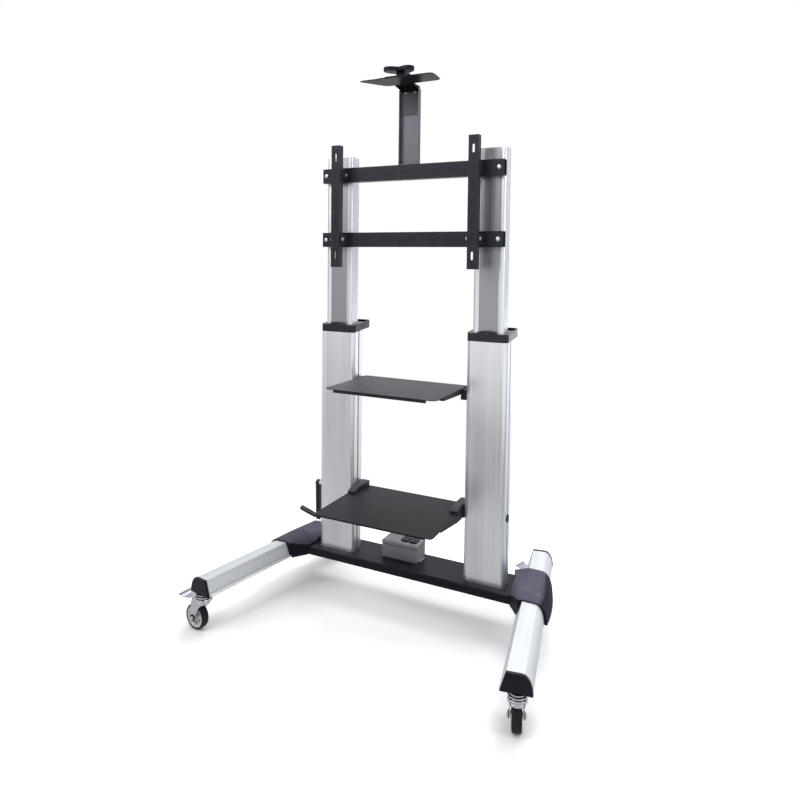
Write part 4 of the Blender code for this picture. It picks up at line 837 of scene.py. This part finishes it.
def looks_up(centre, normal):
    """The test for faces that lie level and face up."""
    return normal.z > 0.9


def push(distance):
    """Extrudes the selected faces straight up or down."""
    bpy.ops.mesh.extrude_region_move(TRANSFORM_OT_translate={"value": (0.0, 0.0, distance)})


def start_part(add, **settings):
    """Adds a primitive with nothing else selected and enters edit mode."""
    bpy.ops.object.select_all(action="DESELECT")
    add(**settings)
    bpy.ops.object.mode_set(mode="EDIT")
    return bpy.context.object


def end_part(obj, material, width=0.0):
    """Leaves edit mode, applies place and turn, rounds the edges and dresses the part."""
    bpy.ops.object.mode_set(mode="OBJECT")
    only(obj)
    bpy.ops.object.transform_apply(location=True, rotation=True, scale=True)
    if width:
        soften(obj, width, 35.0)
    obj.data.materials.clear()
    obj.data.materials.append(material)
    bpy.ops.object.shade_smooth_by_angle(angle=SMOOTH_ANGLE)


def copy_of(part, name, matrix):
    """A copy of a part with its own mesh, moved by a matrix."""
    mesh = part.data.copy()
    mesh.transform(matrix)
    obj = bpy.data.objects.new(name, mesh)
    scene.collection.objects.link(obj)
    return obj


def put(part, name, matrix, body):
    """Puts down a copy that rides on a body."""
    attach(copy_of(part, name, matrix), body)


def gather(part, matrices, name):
    """Copies a part to many places and joins the copies into one piece."""
    copies = [copy_of(part, name, matrix) for matrix in matrices]
    only(copies[0])
    for obj in copies:
        obj.select_set(True)
    bpy.ops.object.join()
    piece = bpy.context.object
    piece.name = name
    return piece


def facing(at, way, spin=0.0):
    """The matrix that stands a part at a point with its top looking a given way."""
    turn = Vector(way).to_track_quat("Z", "Y").to_matrix().to_4x4()
    return Matrix.Translation(at) @ turn @ Matrix.Rotation(spin, 4, "Z")


def retire(*parts):
    """Removes patterns once their copies are down."""
    for part in parts:
        bpy.data.objects.remove(part, do_unlink=True)


print("helpers ready")

# %% [markdown]
# A hexagon nut starts as a six-sided cylinder.  Its top is inset, and the inset face pulled up into the
# rounded end of the axle.

# %% The nut
NUT_R, NUT_H = 0.0088, 0.0046
nut = start_part(bpy.ops.mesh.primitive_cylinder_add, vertices=6, radius=NUT_R, depth=NUT_H,
                 location=(0.0, 0.0, NUT_H / 2))
choose_faces(nut, looks_up)
bpy.ops.mesh.inset(thickness=0.0034)
push(0.0014)
bpy.ops.mesh.inset(thickness=0.0012)
end_part(nut, steel, 0.0006)
print("nut", len(nut.data.polygons), "faces")

# %% [markdown]
# A dark dished washer sits behind each axle nut.  It is a short cylinder whose face is inset and pulled out
# into a step, then inset again and pushed in.

# %% The washer
WASHER_R, WASHER_H = 0.0135, 0.0016
washer = start_part(bpy.ops.mesh.primitive_cylinder_add, vertices=28, radius=WASHER_R, depth=WASHER_H,
                    location=(0.0, 0.0, WASHER_H / 2))
choose_faces(washer, looks_up)
bpy.ops.mesh.inset(thickness=0.0018)
push(0.0010)
bpy.ops.mesh.inset(thickness=0.0012)
push(-0.0008)
end_part(washer, cap_black, 0.0004)
print("washer", len(washer.data.polygons), "faces")

# %% [markdown]
# A socket screw is a short cylinder with a rounded rim and a sunken middle for the key.

# %% The screw
SCREW_R, SCREW_H = 0.0042, 0.0022
screw = start_part(bpy.ops.mesh.primitive_cylinder_add, vertices=20, radius=SCREW_R, depth=SCREW_H,
                   location=(0.0, 0.0, SCREW_H / 2))
choose_faces(screw, looks_up)
bpy.ops.mesh.inset(thickness=0.0018)
push(-0.0013)
end_part(screw, steel, 0.0004)
print("screw", len(screw.data.polygons), "faces")

# %% [markdown]
# The wheel's core has a ring of round lightening holes.  Each is a cup with a thin rim, black as painted
# shade inside the hole, and six cups on both sides are joined into one piece for each wheel.

# %% The cups in the wheel
WHEEL_R = 0.050        # the axle's height above the floor
CUP_R, CUP_H = 0.0050, 0.0020
CUP_RING = 0.0225      # from the axle to the middle of each cup
CUP_OUT = 0.0080       # from the wheel's middle plane
cup = start_part(bpy.ops.mesh.primitive_cylinder_add, vertices=16, radius=CUP_R, depth=CUP_H,
                 location=(0.0, 0.0, 0.0))
choose_faces(cup, looks_up)
bpy.ops.mesh.inset(thickness=0.0006)
push(-0.0016)
# Painted shade: the cup is black for the dark inside of the hole.
end_part(cup, rubber_black, 0.0)
cup_places = []
for side in (-1, 1):
    for k in range(6):
        a = math.radians(60.0 * k + 30.0)
        at = Vector((CUP_RING * math.cos(a), side * CUP_OUT, CUP_RING * math.sin(a)))
        cup_places.append(facing(at, (0.0, side, 0.0)))
wheel_cups = gather(cup, cup_places, "cups")
retire(cup)
print("cups", len(wheel_cups.data.polygons), "faces")

# %% [markdown]
# Between the head that is bolted to the leg and the turning fork runs the ball race.  A dark ring fills the
# groove under the head as painted shade, and a bright bead closes the rim of the cup below it.

# %% Shade ring and bead
def ring(radius, thickness, height):
    """A torus around the swivel, in edit mode."""
    return start_part(bpy.ops.mesh.primitive_torus_add, major_segments=40, minor_segments=8,
                      major_radius=radius, minor_radius=thickness, location=(0.0, 0.0, height))


# Painted shade: a black ring in the groove under the head.
groove_shade_ring = ring(0.0258, 0.0020, 0.1352)
choose_faces(groove_shade_ring, lambda centre, normal: abs(normal.z) > 0.9)
bpy.ops.transform.resize(value=(1.0, 1.0, 0.8))
end_part(groove_shade_ring, rubber_black)
bead = ring(0.0292, 0.0014, 0.1212)
choose_faces(bead, lambda centre, normal: normal.z > 0.7)
bpy.ops.transform.resize(value=(0.99, 0.99, 1.0))
end_part(bead, zinc)
print("seal and bead", len(groove_shade_ring.data.polygons) + len(bead.data.polygons), "faces")

# %% [markdown]
# Every caster is a copy of the same set.  Its place and turn come from its joints: the swivel gives the
# point, and the axle's direction gives the turn.

# %% Dress the casters
joints = {j["name"]: j for j in frame["record"]["behaviour"]["joints"]}
TRAIL = 0.035          # from the swivel back to the axle
CHEEK = 0.0237         # from the wheel's middle plane to the fork's outer face
WASHER_IN = 0.0010     # how far the washer lifts the nut
NUT_TURN = 0.4         # in radians, so that no nut stands square
for tag in ("front_left", "front_right", "rear_left", "rear_right"):
    pivot = joints["swivel_" + tag]["pos_m"]
    axle = joints["roll_" + tag]["axis"]
    stand = Matrix.Translation((pivot[0], pivot[1], 0.0))
    stand = stand @ Matrix.Rotation(math.atan2(-axle[0], axle[1]), 4, "Z")
    for side, where in ((-1, "near"), (1, "far")):
        for part, kind, raised in ((washer, "washer", 0.0), (nut, "nut", WASHER_IN)):
            at = facing(Vector((TRAIL, side * (CHEEK + raised), WHEEL_R)), (0.0, side, 0.0), NUT_TURN)
            put(part, "axle_%s_%s_%s" % (kind, tag, where), stand @ at, "fork_" + tag)
    put(wheel_cups, "wheel_cups_" + tag, stand @ Matrix.Translation((TRAIL, 0.0, WHEEL_R)), "wheel_" + tag)
    put(groove_shade_ring, "race_seal_" + tag, stand, "fork_" + tag)
    put(bead, "race_bead_" + tag, stand, "fork_" + tag)
retire(wheel_cups, groove_shade_ring, bead, washer)
print("casters dressed")

# %% [markdown]
# The power box breathes through punched holes: rows of dots on the left half of its lid and a line of short
# slots along the lid's front edge.  A slot is a thin block whose upright corners are rounded, with a sunken
# top.  The dots and the slots are black, as painted shade for the dark inside of the box, and are joined
# into one piece each.

# %% Vents of the power box
UP = (0.0, 0.0, 1.0)
LID_TOP = 0.2525
DOTS_FROM, DOTS_STEP = (-0.118, 0.050), (0.0085, 0.0095)
SLOTS_FROM, SLOTS_STEP = (-0.119, 0.0425), 0.0148


def punched(size_x, size_y, corner, material, name, sides=2):
    """A thin block with round corners and a sunken top, for a punched hole."""
    part = start_part(bpy.ops.mesh.primitive_cube_add, size=1.0, location=(0.0, 0.0, 0.0))
    bpy.ops.mesh.select_all(action="SELECT")
    bpy.ops.transform.resize(value=(size_x, size_y, 0.0012))
    bpy.ops.mesh.select_mode(type="EDGE")
    choose_uprights(part)
    bpy.ops.mesh.bevel(offset=corner, segments=sides, affect="EDGES")
    choose_faces(part, looks_up)
    bpy.ops.mesh.inset(thickness=min(size_x, size_y) * 0.14)
    push(-0.0009)
    end_part(part, material)
    part.name = name
    return part


# Painted shade: the dots and slots are black for the dark inside that the holes would show.
dot = punched(0.0042, 0.0042, 0.0012, cap_black, "dot")
dots = []
for i in range(8):
    for j in range(7):
        x, y = DOTS_FROM[0] + DOTS_STEP[0] * i, DOTS_FROM[1] + DOTS_STEP[1] * j
        dots.append(facing(spot(x, y, LID_TOP), UP))
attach(gather(dot, dots, "box_vent_dots"), "base")
slot = punched(0.0100, 0.0024, 0.0008, cap_black, "slot")
slots = [facing(spot(SLOTS_FROM[0] + SLOTS_STEP * i, SLOTS_FROM[1], LID_TOP), UP) for i in range(11)]
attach(gather(slot, slots, "box_vent_slots"), "base")
retire(dot, slot)
print("vents", len(dots), "dots and", len(slots), "slots")

# %% [markdown]
# Each outlet has a round well with three contacts in its floor, black as painted shade in their holes.

# %% The sockets
OUTLET_TOP = 0.2588
OUTLET_Y = 0.082
PIN_LIFT = 0.0006
PINS = [(-0.0055, -0.003, 0.5), (0.0055, -0.003, -0.5), (0.0, 0.0065, 0.0)]    # place and turn
well = start_part(bpy.ops.mesh.primitive_cylinder_add, vertices=28, radius=0.0148, depth=0.0016,
                  location=(0.0, 0.0, 0.0006))
choose_faces(well, looks_up)
bpy.ops.mesh.inset(thickness=0.0013)
push(-0.0011)
end_part(well, gloss_black, 0.0002)
# Painted shade: the contacts are black for the dark inside of their holes.
pin = punched(0.0022, 0.0062, 0.0007, cap_black, "pin")
for tag, x in (("a", -0.034), ("b", 0.005)):
    put(well, "socket_well_" + tag, Matrix.Translation(spot(x, OUTLET_Y, OUTLET_TOP)), "base")
    pins = [facing(spot(x + dx, OUTLET_Y + dy, OUTLET_TOP + PIN_LIFT), UP, way) for dx, dy, way in PINS]
    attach(gather(pin, pins, "socket_pins_" + tag), "base")
retire(well, pin)
print("sockets done")

# %% [markdown]
# Screws hold the box to the beam and the camera's tongue in its post, and one ends the crank's grip.  Nuts
# hold the rails on the inner columns and close the pivot bolts of the screen arms, and one sits on the
# crank's hub.

# %% Screws and nuts
FRONT = (0.0, -1.0, 0.0)
BOX_FOOT = 0.1823                      # top of the box's flange
RAIL_HEIGHTS = (1.53, 1.80)
RAIL_FRONT = -0.0223
ARM_X = 0.300                          # middle of a screen arm from the plane between the columns
PIVOT_OUT, PIVOT_AHEAD = 0.0247, 0.044    # the end of a pivot bolt, from the arm's middle and the rail's front
TONGUE_FACE, TONGUE_Z = -0.0043, 2.117
HUB_OUT = 0.044                        # from the crank's joint to the outer face of its hub
GRIP_LONG = 0.0990                     # from the grip's joint to its end
for n, (x, y) in enumerate(((-0.132, 0.066), (-0.132, 0.100), (0.039, 0.066), (0.039, 0.100))):
    put(screw, "box_screw_%d" % n, facing(spot(x, y, BOX_FOOT), UP), "base")
for n, x in enumerate((-0.020, 0.020)):
    put(screw, "tongue_screw_%d" % n, facing(spot(x, TONGUE_FACE, TONGUE_Z), FRONT), "camera_shelf")
for side in (-1, 1):
    for z in RAIL_HEIGHTS:
        for dx in (-0.050, 0.045):
            at = spot(side * (COLUMN_X + dx), RAIL_FRONT, z)
            put(nut, "rail_nut_%d_%d_%d" % (side + 1, round(z * 100), dx > 0), facing(at, FRONT), "lift")
    for end in (-1, 1):
        at = spot(side * ARM_X + end * PIVOT_OUT, RAIL_FRONT - PIVOT_AHEAD, RAIL_HEIGHTS[0])
        put(nut, "pivot_nut_%d_%d" % (side + 1, end + 1), facing(at, (end, 0.0, 0.0)), "lift")
hub = Vector(joints["crank_turn"]["pos_m"]) - Vector((HUB_OUT, 0.0, 0.0))
put(nut, "crank_nut", facing(hub, (-1.0, 0.0, 0.0)), "crank")
grip_way = Vector(joints["grip_spin"]["axis"])
grip_end = Vector(joints["grip_spin"]["pos_m"]) + grip_way * GRIP_LONG
put(screw, "grip_screw", facing(grip_end, grip_way), "crank_grip")
retire(screw, nut)
print("screws and nuts done")

# %% [markdown]
# The screen arms are punched with a row of slots between the two that carry the screen, and the rails with
# wide ones, so that screens of other sizes fit too.  Each slot is a black block, as painted shade for the
# opening.

# %% Slots of the mount
ARM_FRONT = -0.0843
ARM_MIDDLE = 1.665
# Painted shade: the slots are black blocks for the openings.
slot = punched(0.0085, 0.0300, 0.0034, rubber_black, "slot", sides=3)
for side, tag in ((-1, "left"), (1, "right")):
    heights = [ARM_MIDDLE + dz for dz in (-0.13, -0.065, 0.0, 0.065, 0.13)]
    places = [facing(spot(side * ARM_X, ARM_FRONT, z), FRONT) for z in heights]
    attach(gather(slot, places, "arm_slots_" + tag), "screen_arm_" + tag)
wide = punched(0.0600, 0.0100, 0.0040, rubber_black, "wide", sides=3)
for z in RAIL_HEIGHTS:
    places = [facing(spot(x, RAIL_FRONT, z), FRONT) for x in (-0.20, -0.10, 0.0, 0.10, 0.20)]
    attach(gather(wide, places, "rail_slots_%d" % round(z * 100)), "lift")
retire(slot, wide)
print("mount slots done")
